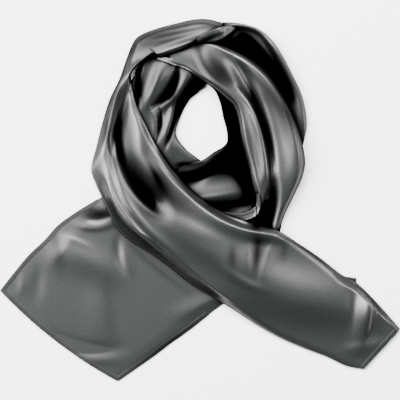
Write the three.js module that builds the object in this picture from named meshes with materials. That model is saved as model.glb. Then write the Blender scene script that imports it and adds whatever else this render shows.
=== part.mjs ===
// An evening stole of dark satin, dropped on a table in two loose turns with both tails spread out.
// Millimetres, +X to the right and +Y up the lay as seen from above, +Z up, underside at z = 0.
import * as THREE from 'three';

// Cloth
const WALL = 1.6; // two plies of satin with the air between them
const GAP = 0.3; // clearance where one piece meets the next
const SEAM = 0.03; // share of a section left open between two stretches of one run of cloth
const HEM_WIDE = 5; // turned hem
const HEM_INSET = 0.6; // hem strip in from the cloth's cut edge
const HEM_WALL = 1.0; // thickness that the hem adds
const HEM_LIFT = 0.6; // hem strip above the cloth it is turned onto
const CORE_CLEAR = 0.8; // hidden turns below the cloth that shows
const CORE_HIGH = 26; // height the hidden turns would reach with nothing on them
const GRID = 1.25; // spacing of the height maps used to lay one piece on another

// Sections of each stretch, from edge to edge. outX/outY and inX/inY are the two edges in plan, outZ
// and inZ their heights, rise how far the cloth stands above the line between them, and outR and inR
// how far in from each edge it takes to round up to that.

// Top run of the cloth: from the end of the right tail, up the front of the ring to the shoulder
const OVER = [
  { outX: 220, outY: -228, inX: 269, inY: -174, outZ: 3.2, inZ: 3.8, rise: 1, outR: 4, inR: 3 },
  { outX: 197, outY: -224, inX: 242, inY: -143, outZ: 1.8, inZ: 3.8, rise: 5, outR: 9, inR: 5 },
  { outX: 171, outY: -212, inX: 212, inY: -113, outZ: 1.8, inZ: 3.8, rise: 8, outR: 10, inR: 7 },
  { outX: 142, outY: -201, inX: 189, inY: -99, outZ: 1.8, inZ: 5, rise: 10, outR: 11, inR: 9 },
  { outX: 111, outY: -188, inX: 162, inY: -78, outZ: 1.8, inZ: 6, rise: 12, outR: 12, inR: 9 },
  { outX: 78, outY: -170, inX: 134, inY: -59, outZ: 1.8, inZ: 8, rise: 14, outR: 12, inR: 9 },
  { outX: 49, outY: -151, inX: 107, inY: -42, outZ: 3, inZ: 10, rise: 16, outR: 12, inR: 9 },
  { outX: 18, outY: -131, inX: 84, inY: -35, outZ: 5, inZ: 11, rise: 17, outR: 10, inR: 9 },
  { outX: -14, outY: -109, inX: 58, inY: -27, outZ: 7, inZ: 11, rise: 17, outR: 14, inR: 9 },
  { outX: -40, outY: -88, inX: 30, inY: -16, outZ: 7, inZ: 11, rise: 17, outR: 15, inR: 9 },
  { outX: -68, outY: -68, inX: -1, inY: 4, outZ: 7, inZ: 10, rise: 16, outR: 15, inR: 9 },
  { outX: -90, outY: -55, inX: -28, inY: 31, outZ: 7, inZ: 9, rise: 15, outR: 15, inR: 9 },
  { outX: -111, outY: -36, inX: -47, inY: 55, outZ: 6, inZ: 9, rise: 15, outR: 14, inR: 8 },
  { outX: -128, outY: -4, inX: -62, inY: 80, outZ: 5, inZ: 9, rise: 15, outR: 13, inR: 8 },
  { outX: -142, outY: 26, inX: -74, inY: 104, outZ: 3, inZ: 9, rise: 16, outR: 12, inR: 8 },
  { outX: -147, outY: 43, inX: -84, inY: 124, outZ: 1.8, inZ: 9, rise: 16, outR: 11, inR: 8 },
  { outX: -140, outY: 72, inX: -89, inY: 140, outZ: 1.8, inZ: 9, rise: 16, outR: 12, inR: 8 },
  { outX: -132, outY: 104, inX: -92, inY: 155, outZ: 1.8, inZ: 9, rise: 16, outR: 12, inR: 8 },
  { outX: -122, outY: 136, inX: -92, inY: 169, outZ: 1.8, inZ: 10, rise: 15, outR: 12, inR: 8 },
  { outX: -109, outY: 163, inX: -85, inY: 180, outZ: 1.8, inZ: 11, rise: 13, outR: 11, inR: 7 },
  { outX: -100, outY: 189, inX: -73, inY: 189, outZ: 1.8, inZ: 12, rise: 11, outR: 10, inR: 7 },
  { outX: -90, outY: 213, inX: -61, inY: 196, outZ: 1.8, inZ: 13, rise: 10, outR: 9, inR: 6 },
  // over the top of the ring
  { outX: -80, outY: 223, inX: -53, inY: 193, outZ: 1.8, inZ: 13, rise: 10, outR: 9, inR: 5 },
  { outX: -57, outY: 232, inX: -38, inY: 197, outZ: 1.8, inZ: 13, rise: 11, outR: 10, inR: 5 },
  { outX: -30, outY: 239, inX: -19, inY: 204, outZ: 1.8, inZ: 14, rise: 11, outR: 10, inR: 5 },
  { outX: -7, outY: 243.5, inX: -1, inY: 213, outZ: 1.8, inZ: 14, rise: 11, outR: 10, inR: 5 },
  { outX: 12, outY: 243.5, inX: 14, inY: 220, outZ: 1.8, inZ: 14, rise: 10, outR: 9, inR: 5 },
  { outX: 30, outY: 239, inX: 27, inY: 224, outZ: 1.8, inZ: 13, rise: 8, outR: 7, inR: 4 },
];
const SHOULDER = 21; // section where the front stretch ends and the top band begins

// Left tail, from its hemmed end to where it goes under the ring
const LEFT_TAIL = [
  { outX: -269, outY: -122, inX: -111, inY: -244, outZ: 1.6, inZ: 1.6, rise: 1, outR: 14, inR: 14 },
  { outX: -255, outY: -104, inX: -88, inY: -228, outZ: 1.6, inZ: 1.6, rise: 2, outR: 20, inR: 16 },
  { outX: -232, outY: -76, inX: -65, inY: -212, outZ: 1.6, inZ: 1.6, rise: 3, outR: 24, inR: 16 },
  { outX: -209, outY: -54, inX: -40, inY: -193, outZ: 1.6, inZ: 1.6, rise: 4, outR: 24, inR: 15 },
  { outX: -192, outY: -35, inX: -16, inY: -176, outZ: 1.6, inZ: 1.6, rise: 5, outR: 22, inR: 14 },
  { outX: -169, outY: -18, inX: 8, inY: -157, outZ: 1.6, inZ: 1.6, rise: 5, outR: 22, inR: 14 },
  { outX: -148, outY: -5, inX: 30, inY: -140, outZ: 1.6, inZ: 1.6, rise: 6, outR: 18, inR: 12 },
  { outX: -131, outY: 5, inX: 38, inY: -128, outZ: 1.6, inZ: 1.6, rise: 3, outR: 24, inR: 16 },
  { outX: -116, outY: 12, inX: 46, inY: -116, outZ: 1.6, inZ: 1.6, rise: 3, outR: 14, inR: 12 },
];
const LEFT_TAIL_BOW = 8; // the end hem bows out by this much between its corners

// Half of the right tail that is folded under the other
const TAIL_UNDER = [
  { outX: 211, outY: -219, inX: 211, inY: -105, outZ: 1.6, inZ: 1.6, rise: 0, outR: 2, inR: 2 },
  { outX: 190, outY: -211, inX: 188, inY: -101, outZ: 1.6, inZ: 1.6, rise: 0, outR: 2, inR: 2 },
  { outX: 163, outY: -199, inX: 160, inY: -86, outZ: 1.6, inZ: 1.6, rise: 0, outR: 2, inR: 2 },
  { outX: 134, outY: -186, inX: 138, inY: -80, outZ: 1.6, inZ: 1.6, rise: 0, outR: 2, inR: 2 },
];

// Outer rim at the upper right, from under the top band to where it dives under the side
const RIGHT_RIM = [
  { outX: 30, outY: 240, inX: 22, inY: 211, outZ: 1.8, inZ: 3, rise: 4, outR: 6, inR: 4 },
  { outX: 51, outY: 239, inX: 46, inY: 192, outZ: 1.8, inZ: 3, rise: 5, outR: 7, inR: 4 },
  { outX: 77, outY: 232, inX: 63, inY: 178, outZ: 1.8, inZ: 3, rise: 5, outR: 7, inR: 4 },
  { outX: 96, outY: 217, inX: 80, inY: 165, outZ: 1.8, inZ: 3, rise: 5, outR: 7, inR: 4 },
  { outX: 111, outY: 196, inX: 92, inY: 148, outZ: 1.8, inZ: 3, rise: 5, outR: 7, inR: 4 },
  { outX: 124, outY: 171, inX: 104, inY: 130, outZ: 1.8, inZ: 3, rise: 5, outR: 7, inR: 4 },
  { outX: 136, outY: 146, inX: 113, inY: 111, outZ: 1.8, inZ: 3, rise: 5, outR: 7, inR: 4 },
  { outX: 143, outY: 119, inX: 120, inY: 92, outZ: 1.8, inZ: 3, rise: 5, outR: 7, inR: 4 },
  { outX: 144, outY: 97, inX: 124, inY: 73, outZ: 1.8, inZ: 3, rise: 4, outR: 7, inR: 4 },
  { outX: 139, outY: 73, inX: 124, inY: 54, outZ: 1.8, inZ: 3, rise: 2, outR: 6, inR: 4 },
];

// Right side of the ring, from under the top band to under the front stretch
const RIGHT_SIDE = [
  { outX: -46, outY: 211, inX: -58, inY: 189, outZ: 7, inZ: 8, rise: 3, outR: 5, inR: 4 },
  { outX: -27, outY: 213, inX: -38, inY: 182, outZ: 7, inZ: 9, rise: 4, outR: 5, inR: 5 },
  { outX: -5, outY: 216, inX: -19, inY: 176, outZ: 7, inZ: 9, rise: 5, outR: 6, inR: 5 },
  { outX: 19, outY: 212, inX: 0, inY: 163, outZ: 6, inZ: 9, rise: 8, outR: 7, inR: 6 },
  { outX: 46, outY: 200, inX: 18, inY: 151, outZ: 5, inZ: 9, rise: 11, outR: 8, inR: 7 },
  { outX: 70, outY: 188, inX: 32, inY: 139, outZ: 5, inZ: 9, rise: 13, outR: 9, inR: 8 },
  { outX: 92, outY: 169, inX: 45, inY: 126, outZ: 5, inZ: 9, rise: 14, outR: 9, inR: 8 },
  { outX: 109, outY: 144, inX: 51, inY: 108, outZ: 5, inZ: 9, rise: 14, outR: 10, inR: 8 },
  { outX: 124, outY: 117, inX: 54, inY: 90, outZ: 5, inZ: 9, rise: 14, outR: 10, inR: 8 },
  { outX: 136, outY: 82, inX: 58, inY: 72, outZ: 3, inZ: 9, rise: 14, outR: 11, inR: 8 },
  { outX: 142, outY: 54, inX: 65, inY: 47, outZ: 1.8, inZ: 9, rise: 14, outR: 12, inR: 8 },
  { outX: 138, outY: 30, inX: 70, inY: 24, outZ: 1.8, inZ: 9, rise: 14, outR: 12, inR: 8 },
  { outX: 126, outY: 4, inX: 76, inY: 3, outZ: 1.8, inZ: 9, rise: 13, outR: 11, inR: 8 },
  { outX: 113, outY: -23, inX: 78, inY: -15, outZ: 1.8, inZ: 9, rise: 11, outR: 10, inR: 7 },
  { outX: 108, outY: -43, inX: 76, inY: -34, outZ: 1.8, inZ: 8, rise: 8, outR: 8, inR: 6 },
  { outX: 103, outY: -68, inX: 73, inY: -57, outZ: 1.8, inZ: 6, rise: 4, outR: 6, inR: 5 },
];

// Rolled inner edge of the right side, which hooks left and goes in under the front stretch
const SIDE_LIP = [
  { outX: 84, outY: 0, inX: 76, inY: 5, outZ: 9, inZ: 9, rise: 3, outR: 4, inR: 4 },
  { outX: 84, outY: -16, inX: 74, inY: -9, outZ: 9, inZ: 9, rise: 4, outR: 4, inR: 4 },
  { outX: 70, outY: -27, inX: 68, inY: -12, outZ: 9, inZ: 9, rise: 4, outR: 5, inR: 4 },
  { outX: 54, outY: -28, inX: 54, inY: -16, outZ: 8, inZ: 8, rise: 4, outR: 5, inR: 4 },
  { outX: 34, outY: -23, inX: 35, inY: -15, outZ: 8, inZ: 7, rise: 3, outR: 4, inR: 3 },
  { outX: 18, outY: -16, inX: 18, inY: -11, outZ: 8, inZ: 7, rise: 2, outR: 3, inR: 3 },
];

// Gathers that hang from the shoulder down the left of the opening; in is the edge of the opening
const LEFT_INSIDE = [
  { outX: -73, outY: 197, inX: -43, inY: 189, outZ: 10, inZ: 10, rise: 1, outR: 4, inR: 4 },
  { outX: -86, outY: 173, inX: -4, inY: 170, outZ: 10, inZ: 8, rise: 2, outR: 5, inR: 4 },
  { outX: -94, outY: 148, inX: 7, inY: 155, outZ: 10, inZ: 3, rise: 3, outR: 5, inR: 4 },
  { outX: -93, outY: 130, inX: -14, inY: 135, outZ: 10, inZ: 2.4, rise: 4, outR: 5, inR: 4 },
  { outX: -85, outY: 111, inX: -26, inY: 112, outZ: 10, inZ: 2, rise: 4, outR: 5, inR: 4 },
  { outX: -73, outY: 90, inX: -32, inY: 89, outZ: 9, inZ: 2, rise: 4, outR: 5, inR: 4 },
  { outX: -59, outY: 69, inX: -20, inY: 70, outZ: 8, inZ: 2, rise: 4, outR: 5, inR: 4 },
  { outX: -43, outY: 46, inX: -5, inY: 58, outZ: 7, inZ: 2, rise: 3, outR: 5, inR: 4 },
  { outX: -30, outY: 27, inX: 7, inY: 49, outZ: 6, inZ: 2, rise: 2, outR: 5, inR: 4 },
];

// Inner turn below and right of the opening; in is again the edge of the opening
const LOWER_INSIDE = [
  { outX: -43, outY: 22, inX: -27, inY: 43, outZ: 8, inZ: 3.6, rise: 1, outR: 5, inR: 4 },
  { outX: -20, outY: -7, inX: -11, inY: 50, outZ: 9, inZ: 3.4, rise: 3, outR: 6, inR: 4 },
  { outX: 8, outY: -27, inX: 3, inY: 54, outZ: 9, inZ: 3, rise: 5, outR: 6, inR: 4 },
  { outX: 43, outY: -38, inX: 19, inY: 65, outZ: 8, inZ: 2.4, rise: 6, outR: 7, inR: 4 },
  { outX: 78, outY: -30, inX: 35, inY: 76, outZ: 8, inZ: 2, rise: 6, outR: 7, inR: 4 },
  { outX: 92, outY: 3, inX: 36, inY: 93, outZ: 8, inZ: 2, rise: 5, outR: 7, inR: 4 },
  { outX: 86, outY: 40, inX: 31, inY: 112, outZ: 8, inZ: 2, rise: 4, outR: 7, inR: 4 },
  { outX: 76, outY: 78, inX: 27, inY: 131, outZ: 8, inZ: 2, rise: 3, outR: 6, inR: 4 },
  { outX: 61, outY: 111, inX: 20, inY: 147, outZ: 8, inZ: 2, rise: 2, outR: 5, inR: 3 },
  { outX: 42, outY: 135, inX: 8, inY: 158, outZ: 8, inZ: 3, rise: 1, outR: 4, inR: 3 },
];

// Bit of the top band's edge that is turned back over it
const TURNED_EDGE = [
  { outX: 8, outY: 221, inX: 11, inY: 215, outZ: 18, inZ: 17, rise: 1, outR: 3, inR: 3 },
  { outX: 22, outY: 231, inX: 23, inY: 212, outZ: 18, inZ: 17, rise: 2, outR: 3, inR: 3 },
  { outX: 35, outY: 235, inX: 35, inY: 216, outZ: 16, inZ: 14, rise: 2, outR: 3, inR: 3 },
  { outX: 47, outY: 232, inX: 47, inY: 224, outZ: 13, inZ: 12, rise: 1, outR: 3, inR: 2 },
];

// Plan of the hidden turns, all round the ring; their height fills what the cloth on them leaves
const HIDDEN = [
  { outX: 0, outY: 228, inX: 4, inY: 181 },
  { outX: -43, outY: 220, inX: -24, inY: 188 },
  { outX: -72, outY: 202, inX: -54, inY: 183 },
  { outX: -86, outY: 173, inX: -68, inY: 160 },
  { outX: -103, outY: 142, inX: -72, inY: 134 },
  { outX: -117, outY: 103, inX: -68, inY: 108 },
  { outX: -128, outY: 70, inX: -57, inY: 84 },
  { outX: -124, outY: 42, inX: -44, inY: 59 },
  { outX: -98, outY: 22, inX: -28, inY: 35 },
  { outX: -62, outY: -12, inX: -11, inY: 19 },
  { outX: -20, outY: -46, inX: 11, inY: 8 },
  { outX: 24, outY: -82, inX: 35, inY: -3 },
  { outX: 62, outY: -106, inX: 59, inY: -3 },
  { outX: 88, outY: -92, inX: 72, inY: 8 },
  { outX: 92, outY: -60, inX: 76, inY: 27 },
  { outX: 94, outY: -16, inX: 74, inY: 46 },
  { outX: 108, outY: 24, inX: 68, inY: 68 },
  { outX: 114, outY: 54, inX: 62, inY: 89 },
  { outX: 106, outY: 92, inX: 54, inY: 111 },
  { outX: 86, outY: 128, inX: 46, inY: 127 },
  { outX: 64, outY: 158, inX: 32, inY: 146 },
  { outX: 36, outY: 184, inX: 19, inY: 165 },
];

// Turned hems that show, by the run they edge and the sections they run between
const HEMS = {
  leftTail: [
    { name: 'left_tail_end_hem', edge: 'end', from: 0, to: 0 },
    { name: 'left_tail_upper_hem', edge: 'out', from: 0.26, to: 6.6 },
    { name: 'left_tail_lower_hem', edge: 'in', from: 0.26, to: 5.2 },
  ],
  over: [
    { name: 'right_tail_end_hem', edge: 'end', from: 0, to: 0 },
    { name: 'right_tail_side_hem', edge: 'in', from: 0.16, to: 2.1 },
    { name: 'front_edge_hem', edge: 'out', from: 7.2, to: 14.3 },
  ],
};

// Largest folds of each stretch. A fold runs from its start through its middle to its end, high above
// the cloth round it, or below where negative. left and right are its half widths on either hand.
const OVER_FOLDS = [
  // deep valley down the left of the ring and the roll between it and the opening
  { startX: -99, startY: 142, midX: -107, midY: 54, endX: -59, endY: -11, left: 11, right: 13, high: -12 },
  { startX: -93, startY: 132, midX: -82, midY: 70, endX: -22, endY: 6, left: 12, right: 10, high: 4 },
  // roll down the outer left, on to the lower edge
  { startX: -135, startY: 70, midX: -88, midY: -18, endX: 8, endY: -108, left: 13, right: 12, high: 4 },
  // roll along the upper rim, with the dark dips below its hook
  { startX: -30, startY: 10, midX: 38, midY: -36, endX: 103, endY: -46, left: 9, right: 9, high: 4 },
  { startX: 62, startY: -54, midX: 78, midY: -64, endX: 76, endY: -104, left: 9, right: 8, high: -9 },
  { startX: 45, startY: -60, midX: 50, midY: -72, endX: 48, endY: -84, left: 7, right: 7, high: -6 },
  { startX: 34, startY: -54, midX: 62, midY: -82, endX: 84, endY: -118, left: 5, right: 5, high: 3 },
  // broad fall of the right tail from its upper half to its folded edge
  { startX: 95, startY: -78, midX: 140, midY: -105, endX: 205, endY: -158, left: 18, right: 26, high: 4 },
  { startX: 60, startY: -140, midX: 110, midY: -160, endX: 180, endY: -196, left: 22, right: 12, high: -5 },
  // creases where the shoulder turns into the top band
  { startX: -92, startY: 206, midX: -54, midY: 220, endX: 4, endY: 230, left: 5, right: 5, high: -3 },
  { startX: -66, startY: 198, midX: -28, midY: 216, endX: 18, endY: 229, left: 5, right: 5, high: -3 },
];
const LEFT_TAIL_FOLDS = [
  { startX: -180, startY: -30, midX: -140, midY: -42, endX: -108, endY: -32, left: 8, right: 9, high: 5 },
  { startX: -150, startY: -16, midX: -142, midY: -22, endX: -128, endY: -26, left: 7, right: 6, high: -5 },
  { startX: -112, startY: -50, midX: -113, midY: -76, endX: -116, endY: -104, left: 6, right: 6, high: -5 },
  { startX: -102, startY: -54, midX: -102, midY: -78, endX: -104, endY: -100, left: 6, right: 6, high: 4 },
  { startX: -140, startY: -130, midX: -134, midY: -162, endX: -126, endY: -196, left: 12, right: 12, high: 4 },
  { startX: -232, startY: -100, midX: -222, midY: -132, endX: -210, endY: -160, left: 14, right: 10, high: 3 },
  { startX: -60, startY: -84, midX: -40, midY: -120, endX: -24, endY: -150, left: 14, right: 14, high: 3 },
];
const RIM_FOLDS = [
  { startX: 34, startY: 233, midX: 72, midY: 226, endX: 100, endY: 201, left: 7, right: 6, high: 10 },
  { startX: 96, startY: 206, midX: 124, midY: 158, endX: 139, endY: 106, left: 7, right: 6, high: 10 },
];
const SIDE_FOLDS = [
  // roll beside the opening, the valley next to it and the outer roll
  { startX: 34, startY: 132, midX: 66, midY: 92, endX: 76, endY: 20, left: 10, right: 10, high: 4 },
  { startX: 30, startY: 195, midX: 72, midY: 128, endX: 95, endY: 20, left: 10, right: 9, high: -10 },
  { startX: 34, startY: 198, midX: 96, midY: 145, endX: 122, endY: 40, left: 9, right: 9, high: 3 },
  { startX: 92, startY: 34, midX: 94, midY: 4, endX: 92, endY: -28, left: 8, right: 8, high: -8 },
];
const LEFT_INSIDE_FOLDS = [
  { startX: -58, startY: 186, midX: -60, midY: 160, endX: -74, endY: 126, left: 7, right: 6, high: 5 },
  { startX: -16, startY: 172, midX: -38, midY: 150, endX: -62, endY: 116, left: 8, right: 6, high: 5 },
  { startX: -36, startY: 136, midX: -36, midY: 106, endX: -52, endY: 74, left: 6, right: 6, high: 5 },
  { startX: -44, startY: 150, midX: -56, midY: 130, endX: -64, endY: 98, left: 4, right: 4, high: -4 },
  { startX: -32, startY: 88, midX: -22, midY: 72, endX: -4, endY: 60, left: 7, right: 7, high: 3 },
];
const LOWER_INSIDE_FOLDS = [
  { startX: -13, startY: 13, midX: 14, midY: 18, endX: 66, endY: 22, left: 8, right: 7, high: 5 },
  { startX: 0, startY: -10, midX: 30, midY: -10, endX: 64, endY: -12, left: 8, right: 8, high: -4 },
  { startX: 20, startY: 40, midX: 34, midY: 40, endX: 50, endY: 36, left: 12, right: 12, high: 3 },
];

// One column of a section table at any place along it, through every row
function column(rows, key, t) {
  const last = rows.length - 1;
  const i = Math.min(Math.floor(t), last - 1);
  const f = t - i;
  const p1 = rows[i][key];
  const p2 = rows[i + 1][key];
  const p0 = i > 0 ? rows[i - 1][key] : 2 * p1 - p2;
  const p3 = i < last - 1 ? rows[i + 2][key] : 2 * p2 - p1;
  const bend = (2 * p0 - 5 * p1 + 4 * p2 - p3) * f * f + (3 * p1 - p0 - 3 * p2 + p3) * f * f * f;
  return p1 + 0.5 * ((p2 - p0) * f + bend);
}

// From an edge up to the level of the cloth inside it: a quarter round where the cloth is folded
// under, a slow rise where a flat hem ends it
function edgeRound(distance, radius, hemmed) {
  const u = Math.min(1, Math.max(0, distance / radius));
  const folded = Math.sqrt(1 - (1 - u) * (1 - u));
  const past = Math.min(1, Math.max(0, (distance - 0.6 * HEM_WIDE) / radius));
  const flat = past * past * (3 - 2 * past);
  return folded + (flat - folded) * hemmed;
}

// 1 where one edge is hemmed at a section, easing to 0 over a section past each end of the hem
function hemmedAt(hems, edge, t) {
  return Math.max(0, ...hems.filter((hem) => hem.edge === edge).map((hem) => (
    Math.max(0, Math.min(1, t - hem.from + 1.2, hem.to + 1.2 - t))
  )));
}

// Height that one fold adds at a place in plan, fading at its two ends
function foldHeight(fold, x, y) {
  const bendX = 2 * fold.midX - 0.5 * (fold.startX + fold.endX);
  const bendY = 2 * fold.midY - 0.5 * (fold.startY + fold.endY);
  let best = { far: Infinity, along: 0, hand: 0 };
  const steps = 16;
  let ax = fold.startX;
  let ay = fold.startY;
  for (let k = 1; k <= steps; k += 1) {
    const s = k / steps;
    const q = 1 - s;
    const bx = q * q * fold.startX + 2 * q * s * bendX + s * s * fold.endX;
    const by = q * q * fold.startY + 2 * q * s * bendY + s * s * fold.endY;
    const dx = bx - ax;
    const dy = by - ay;
    const u = Math.min(1, Math.max(0, ((x - ax) * dx + (y - ay) * dy) / (dx * dx + dy * dy)));
    const far = Math.hypot(x - ax - u * dx, y - ay - u * dy);
    if (far < best.far) best = { far, along: (k - 1 + u) / steps, hand: dx * (y - ay) - dy * (x - ax) };
    ax = bx;
    ay = by;
  }
  const half = best.hand > 0 ? fold.left : fold.right;
  const fade = Math.sqrt(Math.sin(Math.PI * Math.min(0.97, Math.max(0.03, best.along))));
  return fold.high * fade * Math.exp(-((best.far / half) ** 2));
}

// Points of a run of cloth: the face on top, and the back one wall below it and drawn in at the edges
function runOfCloth(rows, folds, stations, across, hems = [], bow = 0) {
  const face = [];
  const back = [];
  for (const t of stations) {
    const at = {};
    for (const key of Object.keys(rows[0])) at[key] = column(rows, key, t);
    const wide = Math.hypot(at.inX - at.outX, at.inY - at.outY);
    const faceRow = [];
    const backRow = [];
    for (let j = 0; j <= across; j += 1) {
      const even = j / across;
      const v = 0.45 * even + 0.55 * (0.5 - 0.5 * Math.cos(Math.PI * even));
      const place = (share) => {
        const swell = bow * 4 * share * (1 - share) * Math.max(0, 1 - t / 3);
        const x = at.outX + (at.inX - at.outX) * share + swell * ((at.inY - at.outY) / wide);
        const y = at.outY + (at.inY - at.outY) * share - swell * ((at.inX - at.outX) / wide);
        return [x, y];
      };
      const [x, y] = place(v);
      const body = edgeRound(v * wide, at.outR, hemmedAt(hems, 'out', t))
        * edgeRound((1 - v) * wide, at.inR, hemmedAt(hems, 'in', t));
      let z = at.outZ + (at.inZ - at.outZ) * v + at.rise * body;
      for (const fold of folds) z += foldHeight(fold, x, y) * body;
      z = Math.max(z, WALL);
      const inset = Math.min(WALL / wide, 0.12);
      const [bx, by] = place(inset + (1 - 2 * inset) * v);
      faceRow.push(new THREE.Vector3(x, y, z));
      backRow.push(new THREE.Vector3(bx, by, z - WALL));
    }
    face.push(faceRow);
    back.push(backRow);
  }
  return { face, back };
}

// Triangles of a closed sheet between its face and its back, as corners [side, row, place]
function sheetCorners(rows, places) {
  const list = [];
  const quad = (a, b, c, d) => list.push([a, b, c], [a, c, d]);
  for (let i = 0; i < rows - 1; i += 1) {
    for (let j = 0; j < places - 1; j += 1) {
      quad([0, i, j], [0, i, j + 1], [0, i + 1, j + 1], [0, i + 1, j]);
      quad([1, i, j], [1, i + 1, j], [1, i + 1, j + 1], [1, i, j + 1]);
    }
    quad([0, i + 1, 0], [1, i + 1, 0], [1, i, 0], [0, i, 0]);
    quad([0, i, places - 1], [1, i, places - 1], [1, i + 1, places - 1], [0, i + 1, places - 1]);
  }
  for (let j = 0; j < places - 1; j += 1) {
    quad([0, 0, j], [1, 0, j], [1, 0, j + 1], [0, 0, j + 1]);
    const e = rows - 1;
    quad([0, e, j + 1], [1, e, j + 1], [1, e, j], [0, e, j]);
  }
  return list;
}

// Heights of all that is laid so far: its highest and lowest surface over each square of the table
const REACH_X = 285;
const REACH_Y = 260;
const ACROSS_X = Math.ceil((2 * REACH_X) / GRID);
const ACROSS_Y = Math.ceil((2 * REACH_Y) / GRID);
const pile = { top: new Float64Array(ACROSS_X * ACROSS_Y).fill(0) };
const ceiling = new Float64Array(ACROSS_X * ACROSS_Y).fill(Infinity);

// Visit every map square under a triangle, with the triangle's height there
function overSquares([a, b, c], visit) {
  const det = (b.y - c.y) * (a.x - c.x) + (c.x - b.x) * (a.y - c.y);
  if (Math.abs(det) < 1e-6) return;
  const x0 = Math.floor((Math.min(a.x, b.x, c.x) + REACH_X) / GRID - 0.5);
  const x1 = Math.ceil((Math.max(a.x, b.x, c.x) + REACH_X) / GRID - 0.5);
  const y0 = Math.floor((Math.min(a.y, b.y, c.y) + REACH_Y) / GRID - 0.5);
  const y1 = Math.ceil((Math.max(a.y, b.y, c.y) + REACH_Y) / GRID - 0.5);
  const slack = 0.08;
  for (let gx = x0; gx <= x1; gx += 1) {
    for (let gy = y0; gy <= y1; gy += 1) {
      const x = (gx + 0.5) * GRID - REACH_X;
      const y = (gy + 0.5) * GRID - REACH_Y;
      const u = ((b.y - c.y) * (x - c.x) + (c.x - b.x) * (y - c.y)) / det;
      const v = ((c.y - a.y) * (x - c.x) + (a.x - c.x) * (y - c.y)) / det;
      const w = 1 - u - v;
      if (u < -slack || v < -slack || w < -slack) continue;
      visit(gy * ACROSS_X + gx, u * a.z + v * b.z + w * c.z);
    }
  }
}

const pointOf = (cloth, [side, i, j]) => (side ? cloth.back : cloth.face)[i][j];

// Lift a sheet just clear of all that lies below it, and smooth what that lifts
function layOn(cloth, below) {
  const rows = cloth.face.length;
  const places = cloth.face[0].length;
  const corners = sheetCorners(rows, places);
  const lifted = cloth.face.map((row) => row.map(() => 0));
  const raise = (i, j, by) => {
    cloth.face[i][j].z += by;
    cloth.back[i][j].z += by;
    lifted[i][j] += by;
  };
  const settle = () => {
    for (let round = 0; round < 40; round += 1) {
      const need = cloth.face.map((row) => row.map(() => 0));
      let most = 0;
      for (const three of corners) {
        overSquares(three.map((corner) => pointOf(cloth, corner)), (square, z) => {
          const short = below[square] > 0 ? below[square] + GAP + 0.25 - z : 0;
          if (short <= 0.01) return;
          most = Math.max(most, short);
          for (const [, i, j] of three) need[i][j] = Math.max(need[i][j], short);
        });
      }
      if (most === 0) return;
      need.forEach((row, i) => row.forEach((by, j) => raise(i, j, by)));
    }
  };
  settle();
  for (let round = 0; round < 2; round += 1) {
    const soft = lifted.map((row, i) => row.map((own, j) => {
      let sum = 0;
      let count = 0;
      for (let a = -1; a <= 1; a += 1) {
        for (let b = -1; b <= 1; b += 1) {
          if (lifted[i + a]?.[j + b] === undefined) continue;
          sum += lifted[i + a][j + b];
          count += 1;
        }
      }
      return Math.max(own, sum / count) - own;
    }));
    soft.forEach((row, i) => row.forEach((by, j) => raise(i, j, by)));
  }
  settle();
  return cloth;
}

// Add a laid sheet to the heights, one square wider than it is so that the next keeps clear
function addToPile(cloth) {
  const own = new Map();
  for (const three of sheetCorners(cloth.face.length, cloth.face[0].length)) {
    overSquares(three.map((corner) => pointOf(cloth, corner)), (square, z) => {
      own.set(square, Math.max(own.get(square) ?? 0, z));
      ceiling[square] = Math.min(ceiling[square], z);
    });
  }
  for (const [square, z] of own) {
    for (const step of [-ACROSS_X - 1, -ACROSS_X, 1 - ACROSS_X, -1, 0, 1, ACROSS_X - 1, ACROSS_X, ACROSS_X + 1]) {
      pile.top[square + step] = Math.max(pile.top[square + step], z);
    }
  }
}

// Closed mesh from listed triangles of points, its faces turned outwards
function meshOf(name, triangles, look) {
  const flat = [];
  const volume = triangles.reduce((sum, [a, b, c]) => sum + a.dot(b.clone().cross(c)), 0);
  for (const [a, b, c] of triangles) {
    for (const p of volume > 0 ? [a, b, c] : [a, c, b]) flat.push(p.x, p.y, p.z);
  }
  const geometry = new THREE.BufferGeometry();
  geometry.setAttribute('position', new THREE.Float32BufferAttribute(flat, 3));
  geometry.computeVertexNormals();
  const mesh = new THREE.Mesh(geometry, look);
  mesh.name = name;
  return mesh;
}

function sheetMesh(name, cloth, look, from = 0, to = cloth.face.length - 1) {
  const part = { face: cloth.face.slice(from, to + 1), back: cloth.back.slice(from, to + 1) };
  const corners = sheetCorners(part.face.length, part.face[0].length);
  return meshOf(name, corners.map((three) => three.map((corner) => pointOf(part, corner))), look);
}

// Even steps along a section table
function evenStations(first, last, steps) {
  return Array.from({ length: steps + 1 }, (_, i) => first + ((last - first) * i) / steps);
}

// Point at a distance along a line of cloth points
function pointAlong(line, distance) {
  let left = distance;
  for (let k = 1; k < line.length; k += 1) {
    const step = line[k].distanceTo(line[k - 1]);
    if (left <= step) return line[k - 1].clone().lerp(line[k], left / step);
    left -= step;
  }
  return line.at(-1).clone();
}

// Hem strip made from the points of the cloth under its edge, moved up
function hemOn(cloth, stations, { edge, from, to }) {
  const inward = [];
  if (edge === 'end') {
    cloth.face[0].forEach((_, j) => inward.push(cloth.face.slice(0, 4).map((row) => row[j])));
  } else {
    stations.forEach((t, i) => {
      if (t < from || t > to) return;
      inward.push(edge === 'out' ? cloth.face[i] : cloth.face[i].toReversed());
    });
  }
  const steps = [HEM_INSET, 0.5 * HEM_WIDE, HEM_WIDE];
  const lifted = (line, up) => steps.map((d) => {
    const p = pointAlong(line, d);
    p.z += up;
    return p;
  });
  return {
    face: inward.map((line) => lifted(line, HEM_LIFT + HEM_WALL)),
    back: inward.map((line) => lifted(line, HEM_LIFT)),
  };
}

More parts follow.
